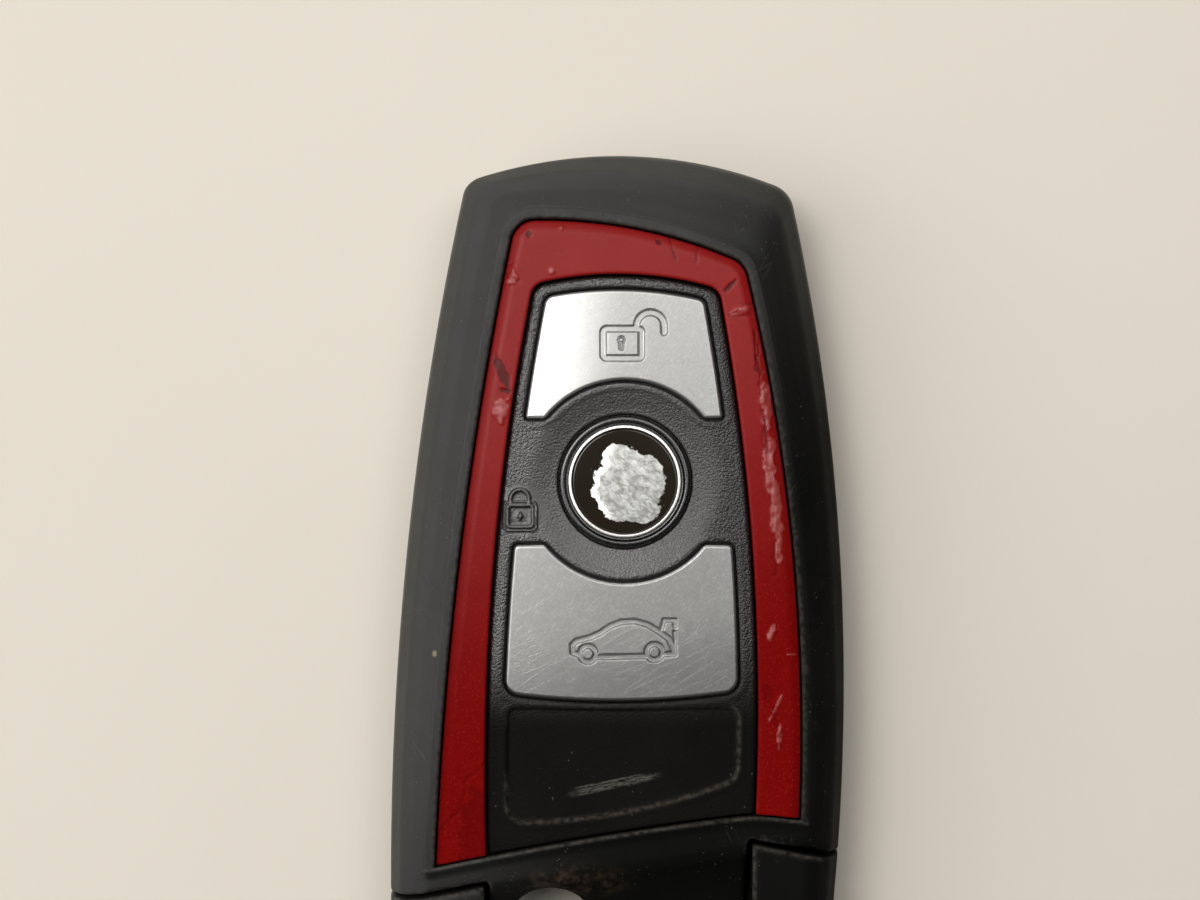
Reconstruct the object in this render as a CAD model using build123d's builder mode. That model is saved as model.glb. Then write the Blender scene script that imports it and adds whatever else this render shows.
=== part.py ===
from build123d import *
import math
import os

os.makedirs("parts", exist_ok=True)

# The fob lies on its back: +Z out of the front face, +Y to the rounded end, -Y to the key ring end.
# The origin is at the middle of the back plane. All lengths are in millimetres.

# Overall size and the split between the rear and front halves
body_length = 82.0
body_width = 40.3
rear_depth = 7.3
front_depth = 6.9
overrun = 30.0

# Outline at the parting line: four long arcs with rounded corners
left_flank_radius_share = 3.47561
left_flank_level_share = -0.27561
right_flank_radius_share = 2.45122
right_flank_level_share = -0.070732
top_arc_radius = 38.8
bottom_arc_radius = 60.0
top_left_corner = 1.9
top_right_corner = 2.7
bottom_corner = 6.5

# Back plane, drawn in from the parting line
back_inset = 2.6
back_top_corner = 3.2
back_bottom_corner = 5.0
rear_flank_shares = ((0.0, 0.0), (0.07, 0.36), (0.32, 0.76), (1.0, 1.0))

# Band of the front bezel from the outline in to the trim, and the raised lip along the trim
band_left = 4.25
band_right = 4.35
band_top = 6.33
lip_width = 0.75
lip_rise = 0.25
trim_gap = 0.15
crest_bottom_inset = 3.4
crest_bottom_corner = 5.0
crest_top_corner = 3.0
front_flank_shares = ((0.0, 0.0), (0.07, 0.34), (0.36, 0.72), (0.74, 0.94), (1.0, 1.0))

# Trim insert: an inverted U with a sloped outer band
trim_left_radius_share = 3.987805
trim_left_level_share = -0.403659
trim_right_radius_share = 2.081707
trim_right_level_share = -0.119512
trim_top_radius = 42.0
trim_top_offset = -6.55
trim_corner = 2.1
trim_thickness = 1.45
trim_bevel_width = 0.75
trim_bevel_drop = 0.32
trim_left_width = 4.43
trim_right_width = 3.68
trim_top_width = 4.63

# Button panel
panel_left_radius_share = 2.634146
panel_left_level_share = -0.158537
panel_right_radius_share = 2.397561
panel_right_level_share = -0.090244
panel_top_radius = 29.8
panel_corner = 1.5
panel_fit = 0.1
panel_drop = 0.7
panel_skin = 1.3
panel_flange_width = 1.2
panel_flange_thickness = 0.8
panel_flange_gap = 0.1

# Diagonal step where the lower body begins
step_left_share = -0.26037
step_middle_share = -0.22866
step_knee_share = -0.20427
step_right_share = -0.21037
step_knee_bend = 1.5

# Badge in the middle of the panel, which is the lock button
badge_x = 0.6
badge_share = 0.6325
badge_radius = 5.6
badge_gap = 0.2
badge_rise = 0.25
badge_rim_width = 0.7
badge_flange_width = 1.0
badge_ring_radius = 4.88
badge_ring_width = 0.58
badge_ring_bevel = 0.18
badge_seat_depth = 0.8
badge_foil_thickness = 0.25
badge_lens_thickness = 0.4
badge_lens_crown = 0.35
dish_radius = 8.45
dish_drop = 0.4

# Unlock and trunk buttons
button_gap = 0.2
button_rise = 0.2
button_cap_thickness = 1.5
button_edge = 0.3
button_arc_radius = 8.8
button_flange_width = 0.45
button_flange_thickness = 0.7
button_flange_gap = 0.15
button_travel = 0.45
flat_side_radius = 400.0
unlock_left_margin = 1.3
unlock_right_margin = 1.45
unlock_top_margin = 1.32
unlock_top_radius = 31.4
unlock_foot_rise = 5.39
unlock_corner = 0.9
trunk_left_margin = 1.6
trunk_right_margin = 1.7
trunk_foot_drop = 5.41
trunk_bottom_share = 0.2439
trunk_bottom_radius = 69.8
trunk_bottom_offset = -0.3
trunk_top_corner = 0.7
trunk_bottom_corner = 1.3

# Blank shallow recess below the trunk button
recess_left_margin = 1.8
recess_right_margin = 1.65
recess_top_share = 0.2162
recess_bottom_share = 0.0271
recess_bottom_radius = 53.3
recess_bottom_offset = -9.3
recess_depth = 0.3
recess_top_corner = 1.0
recess_bottom_corner = 1.6

# Cavity in the front half
front_wall = 1.9
ledge_wall = 3.4
ledge_thickness = 1.2
cavity_corner = 2.4
lower_cavity_height = 1.7

# Circuit board and what stands on it
board_thickness = 1.0
board_clearance = 0.3
switch_length = 4.4
switch_width = 3.4
switch_height = 1.1
plunger_radius = 0.85
plunger_clearance = 0.08
plunger_stand = 0.55
plunger_length = 1.0
unlock_switch_rise = 10.49
trunk_switch_drop = 12.71
pad_radius = 2.2
pad_gap = 0.2
mat_sheet = 0.5
mat_wall = 0.8
controller_size = 6.0
controller_height = 0.9
controller_inset = 5.07
controller_share = 0.4786
radio_size = 4.0
radio_height = 0.8
radio_inset = 4.92
radio_share = 0.4827
crystal_length = 3.2
crystal_width = 1.5
crystal_height = 0.8
crystal_inset = 4.92
crystal_share = 0.577
capacitor_length = 3.5
capacitor_width = 2.0
capacitor_height = 1.4
capacitor_inset = 4.47
capacitor_share = 0.3392
coil_length = 7.0
coil_width = 3.6
coil_height = 2.4
coil_flange = 0.8
coil_end_distance = 7.0
loop_inset = 0.5
loop_width = 0.7
loop_height = 0.4
loop_end_distance = 17.0
transponder_length = 9.0
transponder_width = 3.2
transponder_height = 2.4
transponder_x = -6.0
transponder_end_distance = 19.0

# Coin cell, its well in the rear shell and the round battery cover
cell_radius = 12.25
cell_height = 5.0
cell_x = -3.4
cell_bay_wall = 2.05
cell_clearance = 0.3
cell_wall = 0.35
cell_gasket = 0.5
cell_cap_rise = 0.2
cover_radius = 13.2
cover_thickness = 1.0
cover_gap = 0.15
cover_seal_thickness = 0.3
cover_spigot_width = 0.8
cover_spigot_height = 0.6
cover_slot_length = 11.0
cover_slot_width = 1.8
cover_slot_depth = 0.45
contact_width = 3.6
contact_sheet = 0.25
contact_reach = 4.2
contact_foot = 1.6
contact_clearance = 0.05
leaf_length = 9.0
leaf_width = 2.4
leaf_sheet = 0.15

# Pocket for the transponder in the rear shell
rear_floor = 1.6
pocket_left = -14.0
pocket_right = 8.6
pocket_cell_wall = 1.65
pocket_end_distance = 8.0
pocket_corner = 2.0

# Emergency key: bow, blade, clip and the seam to the housing
tongue_left = -11.1
tongue_right = 11.2
bow_bar_width = 5.4
tongue_corner = 1.6
left_seam_share = -0.27317
left_seam_fall = 1.75
right_seam_share = -0.22805
right_seam_fall = 1.85
seam_corner = 0.8
seam_gap = 0.45
blade_left = 10.4
blade_width = 5.8
blade_bottom = 3.2
blade_thickness = 2.2
blade_root_rise = 2.6
blade_tip_share = 0.20976
blade_point = 2.2
blade_clearance = 0.35
track_width = 1.5
track_depth = 0.5
track_root_distance = 18.0
clip_level = 0.0
track_shares = (
    (0.0, 0.5),
    (0.2, 0.5),
    (0.32, 0.26),
    (0.46, 0.26),
    (0.58, 0.68),
    (0.7, 0.68),
    (0.82, 0.4),
    (1.1, 0.4),
)
track_bend = 1.2
clip_length = 11.0
clip_width = 2.4
clip_sheet = 0.25
clip_crown = 0.7
clip_touch = 0.03

# Key ring bay in the tongue, its steel liner in the bow, and the scoop in front of it
bay_x = -5.9
bay_share = -0.32927
bay_radius = 3.8
liner_thickness = 0.7
liner_height = 6.0
liner_level = 2.4
liner_overlap = 0.9
scoop_radius = 15.0
scoop_tongue_rise = 2.4
scoop_rise = 9.6
scoop_slope = 8.6

# Heights of the main planes
crest_height = rear_depth + front_depth
trim_top = crest_height
ledge_top = trim_top - trim_thickness
ledge_bottom = ledge_top - ledge_thickness
panel_top = crest_height - panel_drop
panel_flange_top = ledge_bottom - panel_flange_gap
panel_bottom = panel_flange_top - panel_flange_thickness
pocket_ceiling = panel_top - panel_skin
board_top = rear_depth + board_thickness
plunger_top = board_top + switch_height + plunger_stand
button_top = panel_top + button_rise
button_flange_top = button_top - button_cap_thickness
button_flange_bottom = button_flange_top - button_flange_thickness


# Places along the fob
top_end = body_length / 2
bottom_end = -body_length / 2
left_flank_radius = body_length * left_flank_radius_share
left_flank_level = body_length * left_flank_level_share
right_flank_radius = body_length * right_flank_radius_share
right_flank_level = body_length * right_flank_level_share
trim_left_radius = body_length * trim_left_radius_share
trim_left_level = body_length * trim_left_level_share
trim_right_radius = body_length * trim_right_radius_share
trim_right_level = body_length * trim_right_level_share
panel_left_radius = body_length * panel_left_radius_share
panel_left_level = body_length * panel_left_level_share
panel_right_radius = body_length * panel_right_radius_share
panel_right_level = body_length * panel_right_level_share
trim_left = -body_width / 2 + band_left
trim_right = body_width / 2 - band_right
trim_end = top_end - band_top
panel_left = trim_left + trim_left_width
panel_right = trim_right - trim_right_width
panel_end = trim_end - trim_top_width
step_left_level = body_length * step_left_share
step_middle_level = body_length * step_middle_share
step_knee_level = body_length * step_knee_share
step_right_level = body_length * step_right_share


def on_panel(share):
    """Place along the panel, 0 at the middle of the step and 1 at the panel's end."""
    return step_middle_level + (panel_end - step_middle_level) * share


badge_y = on_panel(badge_share)
unlock_bottom = badge_y + unlock_foot_rise
trunk_top = badge_y - trunk_foot_drop
unlock_switch_y = badge_y + unlock_switch_rise
trunk_switch_y = badge_y - trunk_switch_drop
tongue_end = bottom_end + bow_bar_width
left_seam_level = body_length * left_seam_share
left_seam_outer_level = left_seam_level - left_seam_fall
right_seam_level = body_length * right_seam_share
right_seam_outer_level = right_seam_level - right_seam_fall
bay_y = body_length * bay_share
cell_y = bay_y + bay_radius + cell_bay_wall + cell_clearance + cell_radius
pocket_bottom = cell_y + cell_radius + cell_clearance + pocket_cell_wall
pocket_top = top_end - pocket_end_distance
blade_root = tongue_end + blade_root_rise
blade_tip = body_length * blade_tip_share
track_start = blade_root + track_root_distance


class Outline:
    """Closed outline of four long arcs.

    left, right, top and bottom are (reach, level, radius): where the arc gets furthest out,
    where along that side this is, and the arc's radius. corners are the corner radii in the
    order bottom left, bottom right, top right, top left.
    """

    def __init__(self, left, right, top, bottom, corners):
        self.left = left
        self.right = right
        self.top = top
        self.bottom = bottom
        self.corners = corners

    def blended(self, other, share):
        """Outline between this one and another, share 0 to 1."""
        def mix(ours, theirs):
            return tuple(a + (b - a) * share for a, b in zip(ours, theirs))
        return Outline(
            mix(self.left, other.left),
            mix(self.right, other.right),
            mix(self.top, other.top),
            mix(self.bottom, other.bottom),
            mix(self.corners, other.corners),
        )


def top_arch(x, y, radius):
    """Half disc above the given centre, with straight sides going down from it."""
    with BuildSketch() as arch:
        with Locations((x, y)):
            Circle(radius)
        with Locations((x, y - radius)):
            Rectangle(2 * radius, 2 * radius)
    return arch.sketch


def outline_face(outline, height, growth=0):
    """Face inside an outline, grown or shrunk evenly, on the plane at the given height."""
    with BuildSketch(Plane.XY.offset(height)) as face:
        reach, level, radius = outline.left
        with Locations((reach + radius, level)):
            Circle(radius + growth)
        reach, level, radius = outline.right
        with Locations(Location((reach - radius, level, 0), (0, 0, 180))):
            Circle(radius + growth, mode=Mode.INTERSECT)
        reach, level, radius = outline.top
        add(top_arch(level, reach - radius, radius + growth), mode=Mode.INTERSECT)
        reach, level, radius = outline.bottom
        with Locations(Location((level, reach + radius, 0), (0, 0, 90))):
            Circle(radius + growth, mode=Mode.INTERSECT)
        directions = ((-1, -1), (1, -1), (1, 1), (-1, 1))
        for (across, along), corner in zip(directions, outline.corners):
            ends = face.vertices().sort_by(lambda end: end.X * across + end.Y * along)
            fillet(ends[-1], corner + growth)
    return face.sketch


def corner_at(sketch, x, y):
    """The sketch's vertex nearest to a point."""
    return sketch.vertices().sort_by(lambda end: math.dist((end.X, end.Y), (x, y)))[0]


def step_face(height, clearance=0):
    """All that lies on the key ring's side of the diagonal step, which bends back at the right leg."""
    far = body_width / 2 + overrun
    middle = (trim_left + panel_right) / 2
    left_slope = (step_middle_level - step_left_level) / (middle - trim_left)
    right_slope = (step_right_level - step_knee_level) / (trim_right - panel_right)
    far_left = (-far, step_left_level - left_slope * (far + trim_left))
    far_right = (far, step_right_level + right_slope * (far - trim_right))
    knee = (panel_right, step_knee_level)
    with BuildSketch(Plane.XY.offset(height)) as face:
        with BuildLine():
            Line(far_left, (trim_left, step_left_level))
            ThreePointArc((trim_left, step_left_level), (middle, step_middle_level), knee)
            Polyline(
                knee,
                far_right,
                (far, bottom_end - overrun),
                (-far, bottom_end - overrun),
                far_left,
            )
        make_face()
        fillet(corner_at(face, *knee), step_knee_bend)
        if clearance:
            offset(amount=clearance, kind=Kind.INTERSECTION)
    return face.sketch


def above_step(face, height, clearance=0):
    """The part of a face on the rounded end's side of the diagonal step."""
    with BuildSketch(Plane.XY.offset(height)) as part:
        add(face)
        add(step_face(height, clearance), mode=Mode.SUBTRACT)
    return part.sketch


def beside_badge(face, height, growth=0):
    """A button's face with the arc round the badge taken out of it."""
    with BuildSketch(Plane.XY.offset(height)) as part:
        add(face)
        with Locations((badge_x, badge_y)):
            Circle(button_arc_radius - growth, mode=Mode.SUBTRACT)
    return part.sketch


def disc_face(x, y, radius, height):
    """Round face."""
    with BuildSketch(Plane.XY.offset(height)) as face:
        with Locations((x, y)):
            Circle(radius)
    return face.sketch


def box_face(left, right, low, high, height, corner=0):
    """Rectangular face between two X and two Y values, with rounded corners if a radius is given."""
    with BuildSketch(Plane.XY.offset(height)) as face:
        with Locations(((left + right) / 2, (low + high) / 2)):
            if corner:
                RectangleRounded(right - left, high - low, corner)
            else:
                Rectangle(right - left, high - low)
    return face.sketch


# Outlines of the housing, the trim, the panel and what lies in the panel
widest = Outline(
    (-body_width / 2, left_flank_level, left_flank_radius),
    (body_width / 2, right_flank_level, right_flank_radius),
    (top_end, 0, top_arc_radius),
    (bottom_end, 0, bottom_arc_radius),
    (bottom_corner, bottom_corner, top_right_corner, top_left_corner),
)
back = Outline(
    (-body_width / 2 + back_inset, left_flank_level, left_flank_radius),
    (body_width / 2 - back_inset, right_flank_level, right_flank_radius),
    (top_end - back_inset, 0, top_arc_radius),
    (bottom_end + back_inset, 0, bottom_arc_radius),
    (back_bottom_corner, back_bottom_corner, back_top_corner, back_top_corner),
)
trim = Outline(
    (trim_left, trim_left_level, trim_left_radius),
    (trim_right, trim_right_level, trim_right_radius),
    (trim_end, trim_top_offset, trim_top_radius),
    (bottom_end, 0, bottom_arc_radius),
    (trim_corner, trim_corner, trim_corner, trim_corner),
)
crest_growth = trim_gap + lip_width
crest = Outline(
    (trim_left - crest_growth, trim_left_level, trim_left_radius + crest_growth),
    (trim_right + crest_growth, trim_right_level, trim_right_radius + crest_growth),
    (trim_end + crest_growth, trim_top_offset, trim_top_radius + crest_growth),
    (bottom_end + crest_bottom_inset, 0, bottom_arc_radius),
    (crest_bottom_corner, crest_bottom_corner, crest_top_corner, crest_top_corner),
)
panel = Outline(
    (panel_left, panel_left_level, panel_left_radius),
    (panel_right, panel_right_level, panel_right_radius),
    (panel_end, 0, panel_top_radius),
    (bottom_end, 0, bottom_arc_radius),
    (panel_corner, panel_corner, panel_corner, panel_corner),
)
unlock = Outline(
    (panel_left + unlock_left_margin, panel_left_level, panel_left_radius),
    (panel_right - unlock_right_margin, panel_right_level, panel_right_radius),
    (panel_end - unlock_top_margin, 0, unlock_top_radius),
    (unlock_bottom, 0, flat_side_radius),
    (unlock_corner, unlock_corner, unlock_corner, unlock_corner),
)
trunk = Outline(
    (panel_left + trunk_left_margin, panel_left_level, panel_left_radius),
    (panel_right - trunk_right_margin, panel_right_level, panel_right_radius),
    (trunk_top, 0, flat_side_radius),
    (on_panel(trunk_bottom_share), trunk_bottom_offset, trunk_bottom_radius),
    (trunk_bottom_corner, trunk_bottom_corner, trunk_top_corner, trunk_top_corner),
)
recess = Outline(
    (panel_left + recess_left_margin, panel_left_level, panel_left_radius),
    (panel_right - recess_right_margin, panel_right_level, panel_right_radius),
    (on_panel(recess_top_share), 0, flat_side_radius),
    (on_panel(recess_bottom_share), recess_bottom_offset, recess_bottom_radius),
    (recess_bottom_corner, recess_bottom_corner, recess_top_corner, recess_top_corner),
)
cavity_bottom = (bottom_end, 0, bottom_arc_radius)


def inner_outline(wall):
    """Outline of a space inside the housing, a wall's thickness in from the parting line."""
    return Outline(
        (-body_width / 2 + wall, left_flank_level, left_flank_radius),
        (body_width / 2 - wall, right_flank_level, right_flank_radius),
        (top_end - wall, 0, top_arc_radius),
        cavity_bottom,
        (cavity_corner, cavity_corner, cavity_corner, cavity_corner),
    )


def bow_space(height, shrink=0):
    """Face of the space that the emergency key's bow fills round the tongue."""
    far = body_width / 2 + overrun
    left_fall = (left_seam_level - left_seam_outer_level) / (body_width / 2 + tongue_left)
    right_fall = (right_seam_level - right_seam_outer_level) / (body_width / 2 - tongue_right)
    with BuildSketch(Plane.XY.offset(height)) as face:
        with BuildLine():
            Polyline(
                (-far, left_seam_level - left_fall * (far + tongue_left)),
                (tongue_left, left_seam_level),
                (tongue_left, tongue_end),
                (tongue_right, tongue_end),
                (tongue_right, right_seam_level),
                (far, right_seam_level - right_fall * (far - tongue_right)),
                (far, bottom_end - overrun),
                (-far, bottom_end - overrun),
                close=True,
            )
        make_face()
        for x, y, corner in (
            (tongue_left, left_seam_level, seam_corner),
            (tongue_right, right_seam_level, seam_corner),
            (tongue_left, tongue_end, tongue_corner),
            (tongue_right, tongue_end, tongue_corner),
        ):
            fillet(corner_at(face, x, y), corner)
        if shrink:
            offset(amount=-shrink, kind=Kind.ARC, mode=Mode.REPLACE)
    return face.sketch


def scoop_face():
    """Circle, seen along the scoop's axis, that hollows the tongue in front of the key ring bay."""
    turn = math.radians(scoop_slope)
    axis = Plane(
        origin=(0, tongue_end + scoop_tongue_rise, crest_height + scoop_rise),
        x_dir=(-math.sin(turn), math.cos(turn), 0),
        z_dir=(math.cos(turn), math.sin(turn), 0),
    )
    with BuildSketch(axis) as face:
        Circle(scoop_radius)
    return face.sketch


def bay_face(height):
    """Key ring bay: a round end with straight sides that run out of the tongue."""
    with BuildSketch(Plane.XY.offset(height)) as face:
        with Locations((bay_x, bay_y)):
            Circle(bay_radius)
        with Locations((bay_x, (bay_y + tongue_end) / 2)):
            Rectangle(2 * bay_radius, bay_y - tongue_end)
    return face.sketch


# Front and rear forms of the whole fob, from which the housing halves and the bow are cut
with BuildPart() as front_form:
    loft([
        outline_face(widest.blended(crest, run), rear_depth + front_depth * rise)
        for run, rise in front_flank_shares
    ])

with BuildPart() as rear_form:
    loft([
        outline_face(widest.blended(back, run), rear_depth * (1 - fall))
        for run, fall in rear_flank_shares
    ])

# Front bezel: sculpted frame with the tongue and the ledge that carries the trim
with BuildPart() as front_bezel:
    add(front_form.part)
    extrude(above_step(outline_face(trim, crest_height, crest_growth), crest_height), amount=lip_rise)
    extrude(bow_space(rear_depth), amount=overrun, mode=Mode.SUBTRACT)
    extrude(
        above_step(outline_face(trim, ledge_top, trim_gap), ledge_top),
        amount=overrun,
        mode=Mode.SUBTRACT,
    )
    extrude(above_step(outline_face(panel, rear_depth), rear_depth), amount=overrun, mode=Mode.SUBTRACT)
    extrude(
        above_step(outline_face(inner_outline(front_wall), rear_depth), rear_depth),
        amount=lower_cavity_height,
        mode=Mode.SUBTRACT,
    )
    extrude(
        above_step(outline_face(inner_outline(ledge_wall), rear_depth), rear_depth),
        amount=ledge_bottom - rear_depth,
        mode=Mode.SUBTRACT,
    )
    extrude(scoop_face(), amount=body_width, both=True, mode=Mode.SUBTRACT)
    extrude(bay_face(rear_depth), amount=overrun, mode=Mode.SUBTRACT)
front_bezel.part.label = "front_bezel"

# Trim insert
with BuildPart() as trim_insert:
    bevel_start = trim_top - trim_bevel_drop
    extrude(outline_face(trim, ledge_top), amount=bevel_start - ledge_top)
    loft([outline_face(trim, bevel_start), outline_face(trim, trim_top, -trim_bevel_width)])
    extrude(step_face(ledge_top, trim_gap), amount=overrun, mode=Mode.SUBTRACT)
    extrude(outline_face(panel, ledge_top), amount=overrun, mode=Mode.SUBTRACT)
trim_insert.part.label = "trim_insert"

# Button panel with its flange under the ledge
with BuildPart() as button_panel:
    extrude(
        above_step(outline_face(panel, panel_bottom, panel_flange_width), panel_bottom, trim_gap),
        amount=panel_flange_thickness,
    )
    extrude(
        above_step(outline_face(panel, panel_bottom, -panel_fit), panel_bottom, trim_gap),
        amount=panel_top - panel_bottom,
    )
    pocket_growth = button_flange_width + button_flange_gap
    for outline in (unlock, trunk):
        extrude(
            beside_badge(outline_face(outline, pocket_ceiling, button_gap), pocket_ceiling, button_gap),
            amount=overrun,
            mode=Mode.SUBTRACT,
        )
        extrude(
            beside_badge(outline_face(outline, panel_bottom, pocket_growth), panel_bottom, pocket_growth),
            amount=pocket_ceiling - panel_bottom,
            mode=Mode.SUBTRACT,
        )
    extrude(
        disc_face(badge_x, badge_y, badge_radius + badge_gap, panel_bottom),
        amount=overrun,
        mode=Mode.SUBTRACT,
    )
    extrude(
        disc_face(badge_x, badge_y, badge_radius + badge_flange_width + button_flange_gap, panel_bottom),
        amount=pocket_ceiling - panel_bottom,
        mode=Mode.SUBTRACT,
    )
    with Locations((badge_x, badge_y, panel_top - dish_drop)):
        Cone(
            badge_radius + badge_gap,
            dish_radius,
            dish_drop,
            align=(Align.CENTER, Align.CENTER, Align.MIN),
            mode=Mode.SUBTRACT,
        )
    extrude(outline_face(recess, panel_top - recess_depth), amount=overrun, mode=Mode.SUBTRACT)
button_panel.part.label = "button_panel"


def button_cap(outline, label):
    """Satin cap of a button, with a small rounding round its face."""
    with BuildPart() as cap:
        face = beside_badge(outline_face(outline, button_flange_top), button_flange_top)
        extrude(face, amount=button_cap_thickness)
        chamfer(cap.faces().sort_by(Axis.Z)[-1].edges(), button_edge)
    cap.part.label = label
    return cap.part


def button_carrier(outline, nub_x, nub_y, label):
    """Flange that keeps a button in the panel, with the nub that presses the pad."""
    with BuildPart() as carrier:
        face = outline_face(outline, button_flange_bottom, button_flange_width)
        face = beside_badge(face, button_flange_bottom, button_flange_width)
        extrude(face, amount=button_flange_thickness)
        nub_bottom = plunger_top + pad_height
        extrude(disc_face(nub_x, nub_y, pad_radius, nub_bottom), amount=button_flange_bottom - nub_bottom)
    carrier.part.label = label
    return carrier.part


pad_height = panel_bottom - plunger_top + (panel_flange_gap + button_flange_gap) / 2
unlock_button = button_cap(unlock, "unlock_button")
trunk_button = button_cap(trunk, "trunk_button")
unlock_carrier = button_carrier(unlock, badge_x, unlock_switch_y, "unlock_carrier")
trunk_carrier = button_carrier(trunk, badge_x, trunk_switch_y, "trunk_carrier")

# Lock button: the round holder of the badge
badge_top = panel_top + badge_rise
badge_axis = Plane(origin=(badge_x, badge_y, 0), x_dir=(1, 0, 0), z_dir=(0, -1, 0))
with BuildPart() as lock_button:
    nub_bottom = plunger_top + pad_height
    seat_height = badge_top - badge_seat_depth
    with BuildSketch(badge_axis):
        with BuildLine():
            Polyline(
                (0, nub_bottom),
                (pad_radius, nub_bottom),
                (pad_radius, button_flange_bottom),
                (badge_radius + badge_flange_width, button_flange_bottom),
                (badge_radius + badge_flange_width, button_flange_top),
                (badge_radius, button_flange_top),
                (badge_radius, badge_top - badge_rise),
                (badge_radius - badge_rim_width / 2, badge_top),
                (badge_ring_radius, badge_top),
                (badge_ring_radius, seat_height),
                (0, seat_height),
                close=True,
            )
        make_face()
    revolve(axis=Axis((badge_x, badge_y, 0), (0, 0, 1)))
lock_button.part.label = "lock_button"

# Bright ring, foil and domed lens in the badge
lens_radius = badge_ring_radius - badge_ring_width
with BuildPart() as badge_ring:
    extrude(disc_face(badge_x, badge_y, badge_ring_radius, seat_height), amount=badge_seat_depth)
    extrude(
        disc_face(badge_x, badge_y, lens_radius, seat_height),
        amount=badge_seat_depth,
        mode=Mode.SUBTRACT,
    )
    chamfer(badge_ring.faces().sort_by(Axis.Z)[-1].edges(), badge_ring_bevel)
badge_ring.part.label = "badge_ring"

with BuildPart() as badge_foil:
    extrude(disc_face(badge_x, badge_y, lens_radius, seat_height), amount=badge_foil_thickness)
badge_foil.part.label = "badge_foil"

with BuildPart() as badge_lens:
    lens_bottom = seat_height + badge_foil_thickness
    lens_edge = lens_bottom + badge_lens_thickness
    dome_radius = (lens_radius**2 + badge_lens_crown**2) / (2 * badge_lens_crown)
    dome_fall = dome_radius - math.sqrt(dome_radius**2 - lens_radius**2 / 4)
    with BuildSketch(badge_axis):
        with BuildLine():
            Line((0, lens_bottom), (lens_radius, lens_bottom))
            Line((lens_radius, lens_bottom), (lens_radius, lens_edge))
            ThreePointArc(
                (lens_radius, lens_edge),
                (lens_radius / 2, lens_edge + badge_lens_crown - dome_fall),
                (0, lens_edge + badge_lens_crown),
            )
            Line((0, lens_edge + badge_lens_crown), (0, lens_bottom))
        make_face()
    revolve(axis=Axis((badge_x, badge_y, 0), (0, 0, 1)))
badge_lens.part.label = "badge_lens"

# Rubber mat over the board, with a hole for each button's pad
switch_places = {
    "unlock": (badge_x, unlock_switch_y),
    "lock": (badge_x, badge_y),
    "trunk": (badge_x, trunk_switch_y),
}
with BuildPart() as keypad_mat:
    outer = above_step(outline_face(panel, board_top, panel_flange_width), board_top, board_clearance)
    extrude(outer, amount=panel_bottom - board_top)
    hollow = above_step(
        outline_face(panel, board_top, panel_flange_width - mat_wall), board_top, board_clearance + mat_wall
    )
    extrude(hollow, amount=panel_bottom - mat_sheet - board_top, mode=Mode.SUBTRACT)
    for x, y in switch_places.values():
        extrude(disc_face(x, y, pad_radius + pad_gap, board_top), amount=overrun, mode=Mode.SUBTRACT)
keypad_mat.part.label = "keypad_mat"


def rubber_pad(x, y, label):
    """Rubber pad between a button's nub and its switch."""
    with BuildPart() as pad:
        extrude(disc_face(x, y, pad_radius, plunger_top), amount=pad_height)
    pad.part.label = label
    return pad.part


def switch_base(x, y, label):
    """Tact switch body with the hole that its plunger slides in."""
    with BuildPart() as base:
        face = box_face(
            x - switch_length / 2,
            x + switch_length / 2,
            y - switch_width / 2,
            y + switch_width / 2,
            board_top,
        )
        extrude(face, amount=switch_height)
        hole_bottom = plunger_top - plunger_length - button_travel - plunger_clearance
        extrude(
            disc_face(x, y, plunger_radius + plunger_clearance, hole_bottom),
            amount=switch_height,
            mode=Mode.SUBTRACT,
        )
    base.part.label = label
    return base.part


def switch_plunger(x, y, label):
    """Plunger of a tact switch."""
    with BuildPart() as plunger:
        extrude(disc_face(x, y, plunger_radius, plunger_top - plunger_length), amount=plunger_length)
    plunger.part.label = label
    return plunger.part


# Circuit board and its parts
with BuildPart() as circuit_board:
    face = outline_face(inner_outline(front_wall + board_clearance), rear_depth)
    extrude(above_step(face, rear_depth, board_clearance), amount=board_thickness)
circuit_board.part.label = "circuit_board"


def board_block(x, y, length, width, height, label):
    """Rectangular electronic part that stands on the board."""
    with BuildPart() as block:
        face = box_face(x - length / 2, x + length / 2, y - width / 2, y + width / 2, board_top)
        extrude(face, amount=height)
    block.part.label = label
    return block.part


with BuildPart() as antenna_coil:
    half_length = coil_length / 2
    half_width = coil_width / 2
    coil_y = top_end - coil_end_distance
    extrude(box_face(-half_length, half_length, coil_y - half_width, coil_y + half_width, board_top),
            amount=coil_height)
    for side in (-1, 1):
        window = box_face(
            -half_length + coil_flange,
            half_length - coil_flange,
            coil_y + side * half_width - coil_flange / 2,
            coil_y + side * half_width + coil_flange / 2,
            board_top,
        )
        extrude(window, amount=coil_height, mode=Mode.SUBTRACT)
antenna_coil.part.label = "antenna_coil"

with BuildPart() as loop_antenna:
    loop_wall = front_wall + board_clearance + loop_inset
    loop = inner_outline(loop_wall)
    extrude(outline_face(loop, board_top), amount=loop_height)
    extrude(outline_face(loop, board_top, -loop_width), amount=loop_height, mode=Mode.SUBTRACT)
    extrude(
        box_face(-body_width, body_width, bottom_end - overrun, top_end - loop_end_distance, board_top),
        amount=loop_height,
        mode=Mode.SUBTRACT,
    )
loop_antenna.part.label = "loop_antenna"

with BuildPart() as transponder:
    face = box_face(
        transponder_x - transponder_length / 2,
        transponder_x + transponder_length / 2,
        top_end - transponder_end_distance - transponder_width / 2,
        top_end - transponder_end_distance + transponder_width / 2,
        rear_depth - transponder_height,
    )
    extrude(face, amount=transponder_height)
transponder.part.label = "transponder"

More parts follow.
